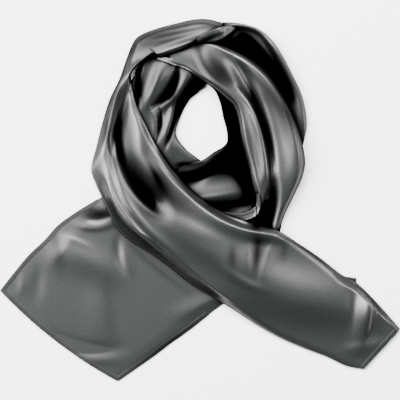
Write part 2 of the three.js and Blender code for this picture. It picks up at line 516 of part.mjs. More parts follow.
function addHems(cloth, stations, hems, look) {
  for (const hem of hems) {
    const strip = hemOn(cloth, stations, hem);
    part.add(sheetMesh(hem.name, strip, look));
    addToPile(strip);
  }
}

const satin = (r, g, b) => new THREE.MeshStandardMaterial({
  color: new THREE.Color(r, g, b), roughness: 0.38, metalness: 0.0,
});
const part = new THREE.Group();
part.name = 'evening_stole';

// Left tail and the folded half of the right tail, flat on the table
const tailStations = [0, HEMS.leftTail[1].from, ...evenStations(0.5, LEFT_TAIL.length - 1, 17)];
const leftTail = layOn(
  runOfCloth(LEFT_TAIL, LEFT_TAIL_FOLDS, tailStations, 15, HEMS.leftTail, LEFT_TAIL_BOW),
  pile.top,
);
part.add(sheetMesh('left_tail', leftTail, satin(0.075, 0.08, 0.078)));
addToPile(leftTail);
addHems(leftTail, tailStations, HEMS.leftTail, satin(0.09, 0.095, 0.093));

const tailUnder = runOfCloth(TAIL_UNDER, [], evenStations(0, TAIL_UNDER.length - 1, 6), 6);
part.add(sheetMesh('right_tail_under', tailUnder, satin(0.07, 0.074, 0.073)));
addToPile(tailUnder);

// Cloth round the opening, then the side of the ring over it
const leftInside = layOn(
  runOfCloth(LEFT_INSIDE, LEFT_INSIDE_FOLDS, evenStations(0, LEFT_INSIDE.length - 1, 18), 12),
  pile.top,
);
part.add(sheetMesh('left_inside', leftInside, satin(0.07, 0.074, 0.073)));
addToPile(leftInside);

const lowerInside = layOn(
  runOfCloth(LOWER_INSIDE, LOWER_INSIDE_FOLDS, evenStations(0, LOWER_INSIDE.length - 1, 20), 9),
  pile.top,
);
part.add(sheetMesh('lower_inside', lowerInside, satin(0.07, 0.074, 0.073)));
addToPile(lowerInside);

const rightRim = layOn(
  runOfCloth(RIGHT_RIM, RIM_FOLDS, evenStations(0, RIGHT_RIM.length - 1, 20), 8),
  pile.top,
);
part.add(sheetMesh('right_rim', rightRim, satin(0.075, 0.08, 0.078)));
addToPile(rightRim);

const rightSide = layOn(
  runOfCloth(RIGHT_SIDE, SIDE_FOLDS, evenStations(0, RIGHT_SIDE.length - 1, 30), 13),
  pile.top,
);
part.add(sheetMesh('right_side', rightSide, satin(0.075, 0.08, 0.078)));
addToPile(rightSide);

const sideLip = layOn(runOfCloth(SIDE_LIP, [], evenStations(0, SIDE_LIP.length - 1, 15), 5), pile.top);
part.add(sheetMesh('side_lip', sideLip, satin(0.075, 0.08, 0.078)));
addToPile(sideLip);

// The run on top is laid as one cloth and parted at the shoulder
const frontStations = [0, HEMS.over[1].from, ...evenStations(0.5, SHOULDER - SEAM, 40)];
const bandStations = evenStations(SHOULDER, OVER.length - 1, 13);
const overStations = [...frontStations, ...bandStations];
const over = layOn(runOfCloth(OVER, OVER_FOLDS, overStations, 13, HEMS.over), pile.top);
const parted = frontStations.length;
part.add(sheetMesh('front_stretch', over, satin(0.08, 0.085, 0.083), 0, parted - 1));
part.add(sheetMesh('top_band', over, satin(0.08, 0.085, 0.083), parted));
addToPile(over);
addHems(over, overStations, HEMS.over, satin(0.09, 0.095, 0.093));

const turnedEdge = layOn(runOfCloth(TURNED_EDGE, [], evenStations(0, TURNED_EDGE.length - 1, 8), 5), pile.top);
part.add(sheetMesh('turned_edge', turnedEdge, satin(0.08, 0.085, 0.083)));
addToPile(turnedEdge);

// Hidden turns under the ring: one rounded solid that fills up to the cloth on it
function hiddenTurns(rows, around, across) {
  const ring = [...rows.slice(-1), ...rows, ...rows.slice(0, 3)];
  const top = [];
  for (let i = 0; i < around; i += 1) {
    const t = 1 + (rows.length * i) / around;
    const outX = column(ring, 'outX', t);
    const outY = column(ring, 'outY', t);
    const inX = column(ring, 'inX', t);
    const inY = column(ring, 'inY', t);
    top.push(Array.from({ length: across + 1 }, (_, j) => {
      const v = j / across;
      return new THREE.Vector3(outX + (inX - outX) * v, outY + (inY - outY) * v, CORE_HIGH);
    }));
  }
  const squares = [];
  for (let i = 0; i < around; i += 1) {
    const n = (i + 1) % around;
    for (let j = 0; j < across; j += 1) {
      squares.push([[i, j], [i, j + 1], [n, j + 1]], [[i, j], [n, j + 1], [n, j]]);
    }
  }
  for (let round = 0; round < 60; round += 1) {
    const drop = top.map((row) => row.map(() => 0));
    let most = 0;
    for (const three of squares) {
      overSquares(three.map(([i, j]) => top[i][j]), (square, z) => {
        const tooHigh = z + CORE_CLEAR - ceiling[square];
        if (tooHigh <= 0.01) return;
        most = Math.max(most, tooHigh);
        for (const [i, j] of three) drop[i][j] = Math.max(drop[i][j], tooHigh);
      });
    }
    if (most === 0) break;
    drop.forEach((row, i) => row.forEach((by, j) => { top[i][j].z -= by; }));
  }
  const floor = (p) => new THREE.Vector3(p.x, p.y, 0);
  const list = squares.map((three) => three.map(([i, j]) => top[i][j]));
  for (let i = 0; i < around; i += 1) {
    const n = (i + 1) % around;
    const [a, b, c, d] = [top[i][0], top[n][0], top[n][across], top[i][across]];
    list.push([floor(a), floor(b), floor(c)], [floor(a), floor(c), floor(d)]);
    list.push([a, b, floor(b)], [a, floor(b), floor(a)]);
    list.push([d, floor(d), floor(c)], [d, floor(c), c]);
  }
  return list;
}
part.add(meshOf('hidden_turns', hiddenTurns(HIDDEN, 48, 6), satin(0.05, 0.053, 0.052)));

export default part;
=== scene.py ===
import math

import bmesh
import bpy
import numpy as np
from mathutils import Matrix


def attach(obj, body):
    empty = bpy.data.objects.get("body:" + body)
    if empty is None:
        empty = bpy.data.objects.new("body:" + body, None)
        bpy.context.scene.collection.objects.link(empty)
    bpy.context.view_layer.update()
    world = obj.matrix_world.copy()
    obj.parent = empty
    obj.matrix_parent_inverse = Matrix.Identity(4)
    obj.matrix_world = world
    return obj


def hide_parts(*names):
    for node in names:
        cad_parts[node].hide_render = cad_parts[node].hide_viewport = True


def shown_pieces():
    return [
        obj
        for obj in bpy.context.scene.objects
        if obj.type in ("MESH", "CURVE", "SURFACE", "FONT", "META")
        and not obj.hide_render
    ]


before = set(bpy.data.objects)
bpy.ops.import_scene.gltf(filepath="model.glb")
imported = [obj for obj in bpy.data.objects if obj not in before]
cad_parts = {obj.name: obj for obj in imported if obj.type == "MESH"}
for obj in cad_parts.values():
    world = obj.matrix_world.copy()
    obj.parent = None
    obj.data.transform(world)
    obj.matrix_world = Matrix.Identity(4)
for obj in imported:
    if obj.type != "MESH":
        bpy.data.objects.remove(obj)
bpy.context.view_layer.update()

# Left tail: the hemmed end of the charcoal satin panel, its full 200 mm width laid flat on the
# table in soft hollows, then running in under the ring. It lies loose.

MM = 0.001
CHARCOAL = (0.009, 0.0101, 0.0098)  # nearly black, with a faint green-grey cast

# A section table gives each run of cloth from edge to edge, in millimetres:
# out edge x, y, in edge x, y, height of each edge, rise between them, rounding in from each edge
LEFT_TAIL = [
    (-269, -122, -111, -244, 1.6, 1.6, 0.3, 14, 14),
    (-255, -104, -88, -228, 1.6, 1.6, 0.5, 26, 20),
    (-232, -76, -65, -212, 1.6, 1.6, 0.8, 30, 20),
    (-209, -54, -40, -193, 1.6, 1.6, 1, 30, 20),
    (-192, -35, -16, -176, 1.6, 1.6, 1.2, 28, 20),
    (-169, -18, 8, -157, 1.6, 1.6, 1.5, 26, 18),
    (-148, -5, 30, -140, 1.6, 1.6, 2, 20, 14),
    (-131, 5, 38, -128, 1.6, 1.6, 2, 16, 12),
    (-116, 12, 46, -116, 1.6, 1.6, 2, 14, 12),
]
# A fold table gives each fold by its start, middle and end, its half width on the left and right
# hand, and how far it stands above the cloth round it, or below where negative
LEFT_TAIL_FOLDS = [
    # curl under the front stretch, with the shaded hollow above it
    (-189, -16, -148, -38, -105, -24, 7, 4, 1.1),
    (-159, -19, -138, -26, -111, -15, 7, 5, -2),
    # broad lit swell below it
    (-202, -51, -162, -77, -108, -105, 19, 22, 4.2),
    (-197, -46, -170, -54, -140, -68, 4, 5, 0.6),
    # upright trough and ridge below the front edge
    (-111, -46, -111, -76, -100, -103, 6, 4.5, -1.5),
    (-99, -46, -99, -78, -90, -103, 8, 6, 0.7),
    # soft hollows across the tail
    (-135, -92, -130, -143, -119, -197, 9, 24, 1.6),
    (-202, -176, -157, -200, -94, -197, 9, 9, -1.6),
    (-170, -208, -140, -215, -97, -213, 8, 8, 0.8),
    (-243, -92, -240, -108, -243, -130, 7, 6, 0.7),
    (-220, -84, -219, -111, -223, -143, 9, 8, -0.8),
    (-43, -159, -3, -144, 32, -130, 12, 12, 1.2),
]
UPPER_HEM_END, LOWER_HEM_END = 6.6, 5.2  # sections at which the tail's long hems go out of sight
TAIL_HEMS = [("out", 0.26, UPPER_HEM_END), ("in", 0.26, LOWER_HEM_END)]
TAIL_BOW = 8  # millimetres that the end hem bows out between its corners
BOW_SECTIONS = 3  # sections over which that bow dies away
WALL = 1.2  # the cloth, made thicker than real satin so that it is a solid wall
CLEAR = 0.5  # between one layer and the next
TABLE_CLEAR = 0.3  # under the lowest cloth
FOLD_PARTS = 72  # straight parts in the line of a fold
FOLD_REACH = 3.2  # half widths from its line past which a fold adds nothing
FOLD_FADE = 1.2  # how sharply a fold dies away at its ends
HEM_EASE = 1.2  # sections past a hem's end at which the edge has a fold's round profile again
HEM_LEVEL = 1.0  # millimetres at a hem that lie level
EDGE_CROWD = 0.35  # share by which mesh columns crowd toward both edges


def along(rows, places):
    """Every column of a section table at places along it, in one smooth line through all its rows."""
    rows = np.array(rows, float)
    rows = np.vstack([2 * rows[0] - rows[1], rows, 2 * rows[-1] - rows[-2]])
    at = np.clip(places.astype(int), 0, len(rows) - 4)
    f = (places - at)[:, None]
    p0, p1, p2, p3 = rows[at], rows[at + 1], rows[at + 2], rows[at + 3]
    bend = (2 * p0 - 5 * p1 + 4 * p2 - p3) * f**2 + (3 * p1 - p0 - 3 * p2 + p3) * f**3
    return p1 + 0.5 * ((p2 - p0) * f + bend)


def fold_height(fold, x, y):
    """What one fold adds to the height of the cloth, fading at both its ends."""
    start_x, start_y, mid_x, mid_y, end_x, end_y, left, right, high = fold
    s = np.linspace(0, 1, FOLD_PARTS + 1)
    line_x = (1 - s) * (1 - 2 * s) * start_x + 4 * s * (1 - s) * mid_x + s * (2 * s - 1) * end_x
    line_y = (1 - s) * (1 - 2 * s) * start_y + 4 * s * (1 - s) * mid_y + s * (2 * s - 1) * end_y
    reach = FOLD_REACH * max(left, right)
    close = abs(x - (line_x.min() + line_x.max()) / 2) < np.ptp(line_x) / 2 + reach
    close &= abs(y - (line_y.min() + line_y.max()) / 2) < np.ptp(line_y) / 2 + reach
    near_x, near_y = x[close], y[close]
    most = np.zeros(near_x.shape)
    for k in range(FOLD_PARTS):
        go_x, go_y = line_x[k + 1] - line_x[k], line_y[k + 1] - line_y[k]
        from_x, from_y = near_x - line_x[k], near_y - line_y[k]
        u = np.clip((from_x * go_x + from_y * go_y) / (go_x * go_x + go_y * go_y), 0, 1)
        far = np.hypot(from_x - u * go_x, from_y - u * go_y)
        side = (go_x * from_y - go_y * from_x) / (math.hypot(go_x, go_y) * np.maximum(far, 1e-6))
        half = (left + right) / 2 + (left - right) / 2 * np.clip(side, -1, 1)
        fade = np.sin(math.pi * np.clip((k + u) / FOLD_PARTS, 0, 1)) ** FOLD_FADE
        most = np.maximum(most, fade * np.exp(-((far / half) ** 2)))
    height = np.zeros(x.shape)
    height[close] = high * most
    return height


def hemmed_at(hems, edge, places):
    """1 where an edge is hemmed, easing to 0 past each end of the hem."""
    share = np.zeros(len(places))
    for which, start, end in hems:
        if which == edge:
            inside = np.minimum(places - start, end - places) + HEM_EASE
            share = np.maximum(share, np.clip(inside, 0, 1))
    return share[:, None]


def edge_round(distance, radius, hemmed):
    """Up from an edge to the cloth inside it: a quarter round at a fold, a slow rise at a flat hem."""
    u = np.clip(distance / radius, 0, 1)
    past = np.clip((distance - HEM_LEVEL) / radius, 0, 1)
    folded = np.sqrt(1 - (1 - u) ** 2)
    # a hem rises in nearly a straight line and is level by its top
    return folded + (1.2 * past - 0.2 * past**6 - folded) * hemmed


def evenly(rows, parts):
    """Places evenly spaced along a section table."""
    return np.linspace(0, len(rows) - 1, parts + 1)


def run_of_cloth(rows, folds, places, across, hems=(), bow=0.0):
    """Face and back of a run of cloth as two grids of points, in millimetres."""
    t = along(rows, places)
    out_x, out_y, in_x, in_y, out_z, in_z, rise, out_r, in_r = (t[:, k : k + 1] for k in range(9))
    wide = np.hypot(in_x - out_x, in_y - out_y)
    even = np.linspace(0, 1, across + 1)[None, :]
    v = (1 - EDGE_CROWD) * even + EDGE_CROWD * (0.5 - 0.5 * np.cos(math.pi * even))

    def place(share):
        swell = bow * 4 * share * (1 - share) * np.clip(1 - places[:, None] / BOW_SECTIONS, 0, 1)
        x = out_x + (in_x - out_x) * share + swell * (in_y - out_y) / wide
        y = out_y + (in_y - out_y) * share - swell * (in_x - out_x) / wide
        return x, y

    x, y = place(v)
    body = edge_round(v * wide, out_r, hemmed_at(hems, "out", places))
    body = body * edge_round((1 - v) * wide, in_r, hemmed_at(hems, "in", places))
    z = out_z + (in_z - out_z) * v + rise * body
    for fold in folds:
        z = z + fold_height(fold, x, y) * body
    z = np.maximum(z, WALL + TABLE_CLEAR)
    inset = np.minimum(WALL / wide, 0.1)
    back_x, back_y = place(inset + (1 - 2 * inset) * v)
    return np.dstack([x, y, z]), np.dstack([back_x, back_y, z - WALL])


TABLE_ROWS, TABLE_COLS = 540, 600  # square millimetres of the table that heights are kept for
MID_ROW, MID_COL = TABLE_ROWS // 2, TABLE_COLS // 2
NOTHING_OVER = 99.0
SMOOTHING = 10  # times that a lift is evened out
# Height of the highest and lowest cloth over each of those squares
laid = np.zeros((TABLE_ROWS, TABLE_COLS))
lowest_back = np.full((TABLE_ROWS, TABLE_COLS), NOTHING_OVER)


def squares(points):
    """Row and column of the table's square that each point stands over."""
    return (points[..., 1] + MID_ROW).astype(int), (points[..., 0] + MID_COL).astype(int)


def nearby(heights, reach, pick):
    """The highest or lowest height within reach of each square, as pick says."""
    found = heights.copy()
    for dy in range(-reach, reach + 1):
        for dx in range(-reach, reach + 1):
            found = pick(found, np.roll(heights, (dy, dx), (0, 1)))
    return found


def evened(padded):
    """The mean of each square and the eight round it, less the rim that was padded on."""
    return sum(np.roll(padded, (a, b), (0, 1))[1:-1, 1:-1] for a in (-1, 0, 1) for b in (-1, 0, 1)) / 9


def closer(grid, parts=3):
    """A grid of points with each mesh square parted again, so that no millimetre is missed."""
    rows = np.arange(0, grid.shape[0] - 1 + 1e-9, 1 / parts)
    cols = np.arange(0, grid.shape[1] - 1 + 1e-9, 1 / parts)
    r = np.minimum(rows.astype(int), grid.shape[0] - 2)
    c = np.minimum(cols.astype(int), grid.shape[1] - 2)
    u, v = (rows - r)[:, None, None], (cols - c)[None, :, None]
    a, b = grid[r][:, c], grid[r][:, c + 1]
    d, e = grid[r + 1][:, c], grid[r + 1][:, c + 1]
    return a * (1 - u) * (1 - v) + b * (1 - u) * v + d * u * (1 - v) + e * u * v


def note_heights(run):
    """Write a run's face and back into the heights over the table."""
    for grid, heights, pick in ((run[0], laid, np.maximum), (run[1], lowest_back, np.minimum)):
        fine = closer(grid)
        pick.at(heights, squares(fine), fine[..., 2])


def lay_on_pile(run):
    """Lift a run just clear of what already lies under it, smooth what that lifts, and add it."""
    face, back = run
    pile = nearby(laid, 1, np.maximum)
    under = np.maximum(pile[squares(face)], pile[squares(back)])
    lift = np.where(under > 0, np.maximum(under + CLEAR - back[..., 2], 0), 0)
    own = lift.copy()
    for _ in range(SMOOTHING):
        lift = np.maximum(own, evened(np.pad(lift, 1, mode="edge")))
    face[..., 2] += lift
    back[..., 2] += lift
    note_heights(run)
    return run


def lengths(grid, axis):
    """Distance along the cloth from its first row or edge, which places its weave."""
    step = np.linalg.norm(np.diff(grid, axis=axis), axis=2)
    return np.concatenate([np.zeros_like(step.take([0], axis)), np.cumsum(step, axis)], axis) * MM


def cloth_piece(name, run, material, *nodes):
    """One closed shell between the face and the back of a run, in metres, standing for its solid."""
    face, back = run
    n, m = face.shape[:2]
    points = np.vstack([face.reshape(-1, 3), back.reshape(-1, 3)]) * MM
    top = np.arange(n * m).reshape(n, m)
    low = top + n * m
    quads = [
        np.dstack([top[:-1, :-1], top[:-1, 1:], top[1:, 1:], top[1:, :-1]]).reshape(-1, 4),
        np.dstack([low[:-1, :-1], low[1:, :-1], low[1:, 1:], low[:-1, 1:]]).reshape(-1, 4),
        np.column_stack([top[1:, 0], low[1:, 0], low[:-1, 0], top[:-1, 0]]),
        np.column_stack([top[:-1, -1], low[:-1, -1], low[1:, -1], top[1:, -1]]),
        np.column_stack([top[0, :-1], low[0, :-1], low[0, 1:], top[0, 1:]]),
        np.column_stack([top[-1, 1:], low[-1, 1:], low[-1, :-1], top[-1, :-1]]),
    ]
    quads = np.vstack(quads)
    across = face[0, -1] - face[0, 0]
    onward = face[1, 0] - face[0, 0]
    if across[0] * onward[1] - across[1] * onward[0] < 0:
        quads = quads[:, ::-1]
    mesh = bpy.data.meshes.new(name)
    mesh.from_pydata(points.tolist(), [], quads.tolist())
    cut = np.tile(np.dstack([lengths(face, 0), lengths(face, 1)]).reshape(-1, 2), (2, 1))
    weave = mesh.uv_layers.new(name="cut of the cloth")
    corner = np.empty(len(mesh.loops), int)
    mesh.loops.foreach_get("vertex_index", corner)
    weave.data.foreach_set("uv", cut[corner].ravel())
    mesh.shade_smooth()
    # its two cut ends stay crisp, so that cloth which goes on in another piece shows no line there
    ends = np.empty(2 * len(mesh.edges), int)
    mesh.edges.foreach_get("vertices", ends)
    row = ends.reshape(-1, 2) // m
    crisp = (row[:, 0] == row[:, 1]) & np.isin(row[:, 0], [0, n - 1, n, 2 * n - 1])
    mesh.attributes.new("sharp_edge", "BOOLEAN", "EDGE").data.foreach_set("value", crisp)
    mesh.materials.append(material)
    piece = bpy.data.objects.new(name, mesh)
    bpy.context.collection.objects.link(piece)
    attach(piece, "root")
    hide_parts(*nodes)
    return piece


def node(tree, kind, place=(0, 0), **values):
    """A new node with its settings and the values of its open inputs."""
    made = tree.nodes.new(kind)
    made.location = place
    for key, value in values.items():
        if hasattr(made, key):
            setattr(made, key, value)
        else:
            made.inputs[key].default_value = value
    return made


def weave_and_painted_shade_group():
    """Fine floats of the satin weave, faint slubs over them, and the painted shade in the deep turns.
    """
    group = bpy.data.node_groups.new("satin weave", "ShaderNodeTree")
    face = group.interface
    for name, value in (("Thread", 2600.0), ("Grain", 0.12), ("Slub", 0.1)):
        face.new_socket(name, in_out="INPUT", socket_type="NodeSocketFloat").default_value = value
    for name in ("tone_and_painted_shade", "gloss_and_painted_shade"):
        face.new_socket(name, in_out="OUTPUT", socket_type="NodeSocketFloat")
    face.new_socket("Normal", in_out="OUTPUT", socket_type="NodeSocketVector")
    given = group.nodes.new("NodeGroupInput")
    result = group.nodes.new("NodeGroupOutput")
    link = group.links.new
    cut = node(group, "ShaderNodeUVMap", uv_map="cut of the cloth")
    # long floats: threads far closer together across the cloth than they are long
    stretch = node(group, "ShaderNodeVectorMath", operation="MULTIPLY")
    stretch.inputs[1].default_value = (0.3, 1.0, 1.0)
    link(cut.outputs["UV"], stretch.inputs[0])
    floats = node(group, "ShaderNodeTexNoise", Detail=1.0, Roughness=0.5)
    link(stretch.outputs["Vector"], floats.inputs["Vector"])
    link(given.outputs["Thread"], floats.inputs["Scale"])
    slubs = node(group, "ShaderNodeTexNoise", Scale=420.0, Detail=2.0, Roughness=0.6)
    link(cut.outputs["UV"], slubs.inputs["Vector"])
    bump = node(group, "ShaderNodeBump", Strength=0.12, Distance=0.0004)
    link(floats.outputs[0], bump.inputs["Height"])
    link(bump.outputs["Normal"], result.inputs["Normal"])

    def swing(source, amount):
        # 1, give or take that amount, with the noise
        centred = node(group, "ShaderNodeMath", operation="SUBTRACT")
        centred.inputs[1].default_value = 0.5
        link(source, centred.inputs[0])
        scaled = node(group, "ShaderNodeMath", operation="MULTIPLY_ADD")
        scaled.inputs[2].default_value = 1.0
        link(centred.outputs[0], scaled.inputs[0])
        link(amount, scaled.inputs[1])
        return scaled.outputs[0]

    both = node(group, "ShaderNodeMath", operation="MULTIPLY")
    link(swing(floats.outputs[0], given.outputs["Grain"]), both.inputs[0])
    link(swing(slubs.outputs[0], given.outputs["Slub"]), both.inputs[1])
    # painted shade: each point's share of light darkens the weave's tone and its gloss alike
    painted_shade = node(group, "ShaderNodeAttribute", attribute_name="painted_light_openness")
    shaded = node(group, "ShaderNodeMath", operation="MULTIPLY")
    link(both.outputs[0], shaded.inputs[0])
    link(painted_shade.outputs["Fac"], shaded.inputs[1])
    link(shaded.outputs[0], result.inputs["tone_and_painted_shade"])
    link(shaded.outputs[0], result.inputs["gloss_and_painted_shade"])
    return group


weave_and_painted_shade = weave_and_painted_shade_group()


def satin(name, rough, gloss=0.54):
    """Charcoal satin: a dull ground under its glossy floats, both darkened by the painted shade."""
    material = bpy.data.materials.new(name)
    material.use_nodes = True
    tree = material.node_tree
    shader = tree.nodes["Principled BSDF"]
    weave = node(tree, "ShaderNodeGroup", (-500, 0))
    weave.node_tree = weave_and_painted_shade
    weave.inputs["Grain"].default_value = 1.2
    weave.inputs["Slub"].default_value = 0.5
    # colour: the charcoal dye times the weave's tone, which carries the painted shade
    dye_and_painted_shade = node(tree, "ShaderNodeMix", (-250, 150), data_type="RGBA", blend_type="MULTIPLY")
    dye_and_painted_shade.inputs[0].default_value = 1.0
    dye_and_painted_shade.inputs[6].default_value = (*CHARCOAL, 1)
    tree.links.new(weave.outputs["tone_and_painted_shade"], dye_and_painted_shade.inputs[7])
    tree.links.new(dye_and_painted_shade.outputs[2], shader.inputs["Base Color"])
    # gloss: the coat's weight, cut by the same painted shade
    gloss_in_painted_shade = node(tree, "ShaderNodeMath", (-250, -50), operation="MULTIPLY", use_clamp=True)
    gloss_in_painted_shade.inputs[1].default_value = gloss
    tree.links.new(weave.outputs["gloss_and_painted_shade"], gloss_in_painted_shade.inputs[0])
    tree.links.new(gloss_in_painted_shade.outputs[0], shader.inputs["Coat Weight"])
    tree.links.new(weave.outputs["Normal"], shader.inputs["Normal"])
    shader.inputs["Roughness"].default_value = 0.6
    shader.inputs["Specular IOR Level"].default_value = 0.0
    shader.inputs["Coat Roughness"].default_value = rough
    shader.inputs["Coat IOR"].default_value = 2.0
    material.diffuse_color = (*CHARCOAL, 1)
    return material


face_satin = satin("charcoal satin", rough=0.33)
tail_places = evenly(LEFT_TAIL, parts=150)
left_tail = lay_on_pile(
    run_of_cloth(LEFT_TAIL, LEFT_TAIL_FOLDS, tail_places, across=130, hems=TAIL_HEMS, bow=TAIL_BOW)
)
left_tail_piece = cloth_piece("left_tail_cloth", left_tail, face_satin, "left_tail")

# Hems: the satin's cut edge is turned twice to 5 mm and sewn down with charcoal thread, so each
# hem is a narrow rolled strip on its panel. One row of small stitches runs near its inner fold.
HEM_WIDE = 5.0
HEM_HIGH = 0.2  # how far the turned edge stands above the panel
HEM_THICK = 0.35
STITCH_IN = 3.7  # stitch row from the hem's outer fold
STITCH_HIGH = 0.76 * HEM_HIGH
STITCH_SLANT = 0.12  # radians at most that one stitch is turned from its row
END_ROWS, SIDE_COLUMNS = 14, 24  # of the panel's mesh that a hem lies over
# Distance in from the panel's edge, and height, on a scale where the hem is PROFILE_TOP high
HEM_PROFILE = [
    (-0.7, -0.6), (-0.75, 0.0), (-0.45, 0.55), (0.2, 0.85), (1.4, 0.95), (2.6, 0.9), (3.3, 0.7),
    (3.7, 0.6), (4.1, 0.66), (4.6, 0.55), (HEM_WIDE, 0.35), (HEM_WIDE + 0.4, 0.08),
]
PROFILE_TOP = 0.95


def panel_lines(run, places, edge, start, end):
    """Lines of points that run inward from one edge of a panel, one for each row of its mesh."""
    face = run[0]
    if edge == "end":
        return face[:END_ROWS].transpose(1, 0, 2)
    rows = face[(places >= start) & (places <= end)]
    return rows[:, :SIDE_COLUMNS] if edge == "out" else rows[:, ::-1][:, :SIDE_COLUMNS]


def points_in(lines, distance):
    """On each line, the point at that distance from the panel's edge."""
    made = []
    for line in lines:
        step = np.linalg.norm(np.diff(line, axis=0), axis=1)
        reach = np.concatenate([[0], np.cumsum(step)])
        if distance < 0:
            made.append(line[0] + (line[0] - line[1]) / step[0] * -distance)
        else:
            made.append([np.interp(distance, reach, line[:, k]) for k in range(3)])
    return np.array(made)


def hem_strip(lines):
    """The turned strip: rolled over the panel's edge, level across, and down again at its fold."""
    face, back = [], []
    for distance, height in HEM_PROFILE:
        p = points_in(lines, distance)
        up = height * HEM_HIGH / PROFILE_TOP
        face.append(p + [0, 0, up])
        back.append(p + [0, 0, min(up - HEM_THICK, 0.02)])
    return np.array(face).transpose(1, 0, 2), np.array(back).transpose(1, 0, 2)


def stitch_tree():
    """Stitches of one length set at even spacing along a line, each turned a little by chance."""
    tree = bpy.data.node_groups.new("row of stitches", "GeometryNodeTree")
    face = tree.interface
    face.new_socket("Geometry", in_out="INPUT", socket_type="NodeSocketGeometry")
    for name, value in (("Spacing", 0.0026), ("Length", 0.0017), ("Thread", 0.00016)):
        face.new_socket(name, in_out="INPUT", socket_type="NodeSocketFloat").default_value = value
    face.new_socket("Seed", in_out="INPUT", socket_type="NodeSocketInt").default_value = 7
    face.new_socket("Material", in_out="INPUT", socket_type="NodeSocketMaterial")
    face.new_socket("Geometry", in_out="OUTPUT", socket_type="NodeSocketGeometry")
    given, result = tree.nodes.new("NodeGroupInput"), tree.nodes.new("NodeGroupOutput")
    link = tree.links.new
    row = tree.nodes.new("GeometryNodeMeshToCurve")
    spaced = tree.nodes.new("GeometryNodeResampleCurve")
    spaced.mode = "LENGTH"
    link(given.outputs["Geometry"], row.inputs["Mesh"])
    link(row.outputs["Curve"], spaced.inputs["Curve"])
    link(given.outputs["Spacing"], spaced.inputs["Length"])
    stitch = tree.nodes.new("GeometryNodeMeshUVSphere")
    stitch.inputs["Segments"].default_value = 6
    stitch.inputs["Rings"].default_value = 4
    stitch.inputs["Radius"].default_value = 1.0
    tangent = tree.nodes.new("GeometryNodeInputTangent")
    turned = tree.nodes.new("FunctionNodeAlignRotationToVector")
    turned.axis = "X"
    link(tangent.outputs["Tangent"], turned.inputs["Vector"])
    chance = tree.nodes.new("FunctionNodeRandomValue")
    chance.data_type = "FLOAT"
    chance.inputs[2].default_value = -STITCH_SLANT
    chance.inputs[3].default_value = STITCH_SLANT
    link(given.outputs["Seed"], chance.inputs["Seed"])
    slant = tree.nodes.new("ShaderNodeCombineXYZ")
    link(chance.outputs[1], slant.inputs["Z"])
    both = tree.nodes.new("FunctionNodeRotateRotation")
    link(turned.outputs["Rotation"], both.inputs["Rotation"])
    link(slant.outputs["Vector"], both.inputs["Rotate By"])
    half = tree.nodes.new("ShaderNodeMath")
    half.operation = "MULTIPLY"
    half.inputs[1].default_value = 0.5
    link(given.outputs["Length"], half.inputs[0])
    size = tree.nodes.new("ShaderNodeCombineXYZ")
    link(half.outputs[0], size.inputs["X"])
    link(given.outputs["Thread"], size.inputs["Y"])
    link(given.outputs["Thread"], size.inputs["Z"])
    sewn = tree.nodes.new("GeometryNodeInstanceOnPoints")
    link(spaced.outputs["Curve"], sewn.inputs["Points"])
    link(stitch.outputs["Mesh"], sewn.inputs["Instance"])
    link(both.outputs["Rotation"], sewn.inputs["Rotation"])
    link(size.outputs["Vector"], sewn.inputs["Scale"])
    real = tree.nodes.new("GeometryNodeRealizeInstances")
    link(sewn.outputs["Instances"], real.inputs["Geometry"])
    look = tree.nodes.new("GeometryNodeSetMaterial")
    link(real.outputs["Geometry"], look.inputs["Geometry"])
    link(given.outputs["Material"], look.inputs["Material"])
    link(look.outputs["Geometry"], result.inputs["Geometry"])
    return tree


row_of_stitches = stitch_tree()
thread = bpy.data.materials.new("charcoal thread")
thread.use_nodes = True
thread_shader = thread.node_tree.nodes["Principled BSDF"]
thread_shader.inputs["Base Color"].default_value = (0.02, 0.022, 0.0215, 1)
thread_shader.inputs["Roughness"].default_value = 0.7
thread_shader.inputs["Specular IOR Level"].default_value = 0.1
# a copy of the satin with under half its gloss: painted shade that keeps the hems from catching the
# light
hem_satin_in_painted_shade = satin("charcoal satin at the hems", rough=0.37, gloss=0.25)


def sewn_row(name, line):
    """A row of stitches along a line of points, as plain mesh."""
    mesh = bpy.data.meshes.new(name + "_line")
    mesh.from_pydata((np.array(line) * MM).tolist(), [(k, k + 1) for k in range(len(line) - 1)], [])
    guide = bpy.data.objects.new(name + "_line", mesh)
    bpy.context.collection.objects.link(guide)
    sewing = guide.modifiers.new("stitches", "NODES")
    sewing.node_group = row_of_stitches
    for item in row_of_stitches.interface.items_tree:
        if item.in_out == "INPUT" and item.name == "Material":
            sewing[item.identifier] = thread
    ready = guide.evaluated_get(bpy.context.evaluated_depsgraph_get())
    made = bpy.data.meshes.new_from_object(ready)
    made.name = name
    guide.modifiers.remove(sewing)
    bpy.data.objects.remove(guide)
    made.shade_smooth()
    piece = bpy.data.objects.new(name, made)
    bpy.context.collection.objects.link(piece)
    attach(piece, "root")
    return piece


def sew_hem(name, run, places, edge, start=0.0, end=0.0):
    """A hem and its stitches on one edge of a panel, from one section to another on a long edge."""
    lines = panel_lines(run, places, edge, start, end)
    strip = hem_strip(lines)
    hem = cloth_piece(name + "_cloth", strip, hem_satin_in_painted_shade, name)
    note_heights(strip)
    row = points_in(lines, STITCH_IN) + [0, 0, STITCH_HIGH]
    return [hem, sewn_row(name + "_stitches", row)]


tail_hems = sew_hem("left_tail_end_hem", left_tail, tail_places, "end")
tail_hems += sew_hem("left_tail_upper_hem", left_tail, tail_places, "out", 0.0, UPPER_HEM_END)
tail_hems += sew_hem("left_tail_lower_hem", left_tail, tail_places, "in", 0.0, LOWER_HEM_END)

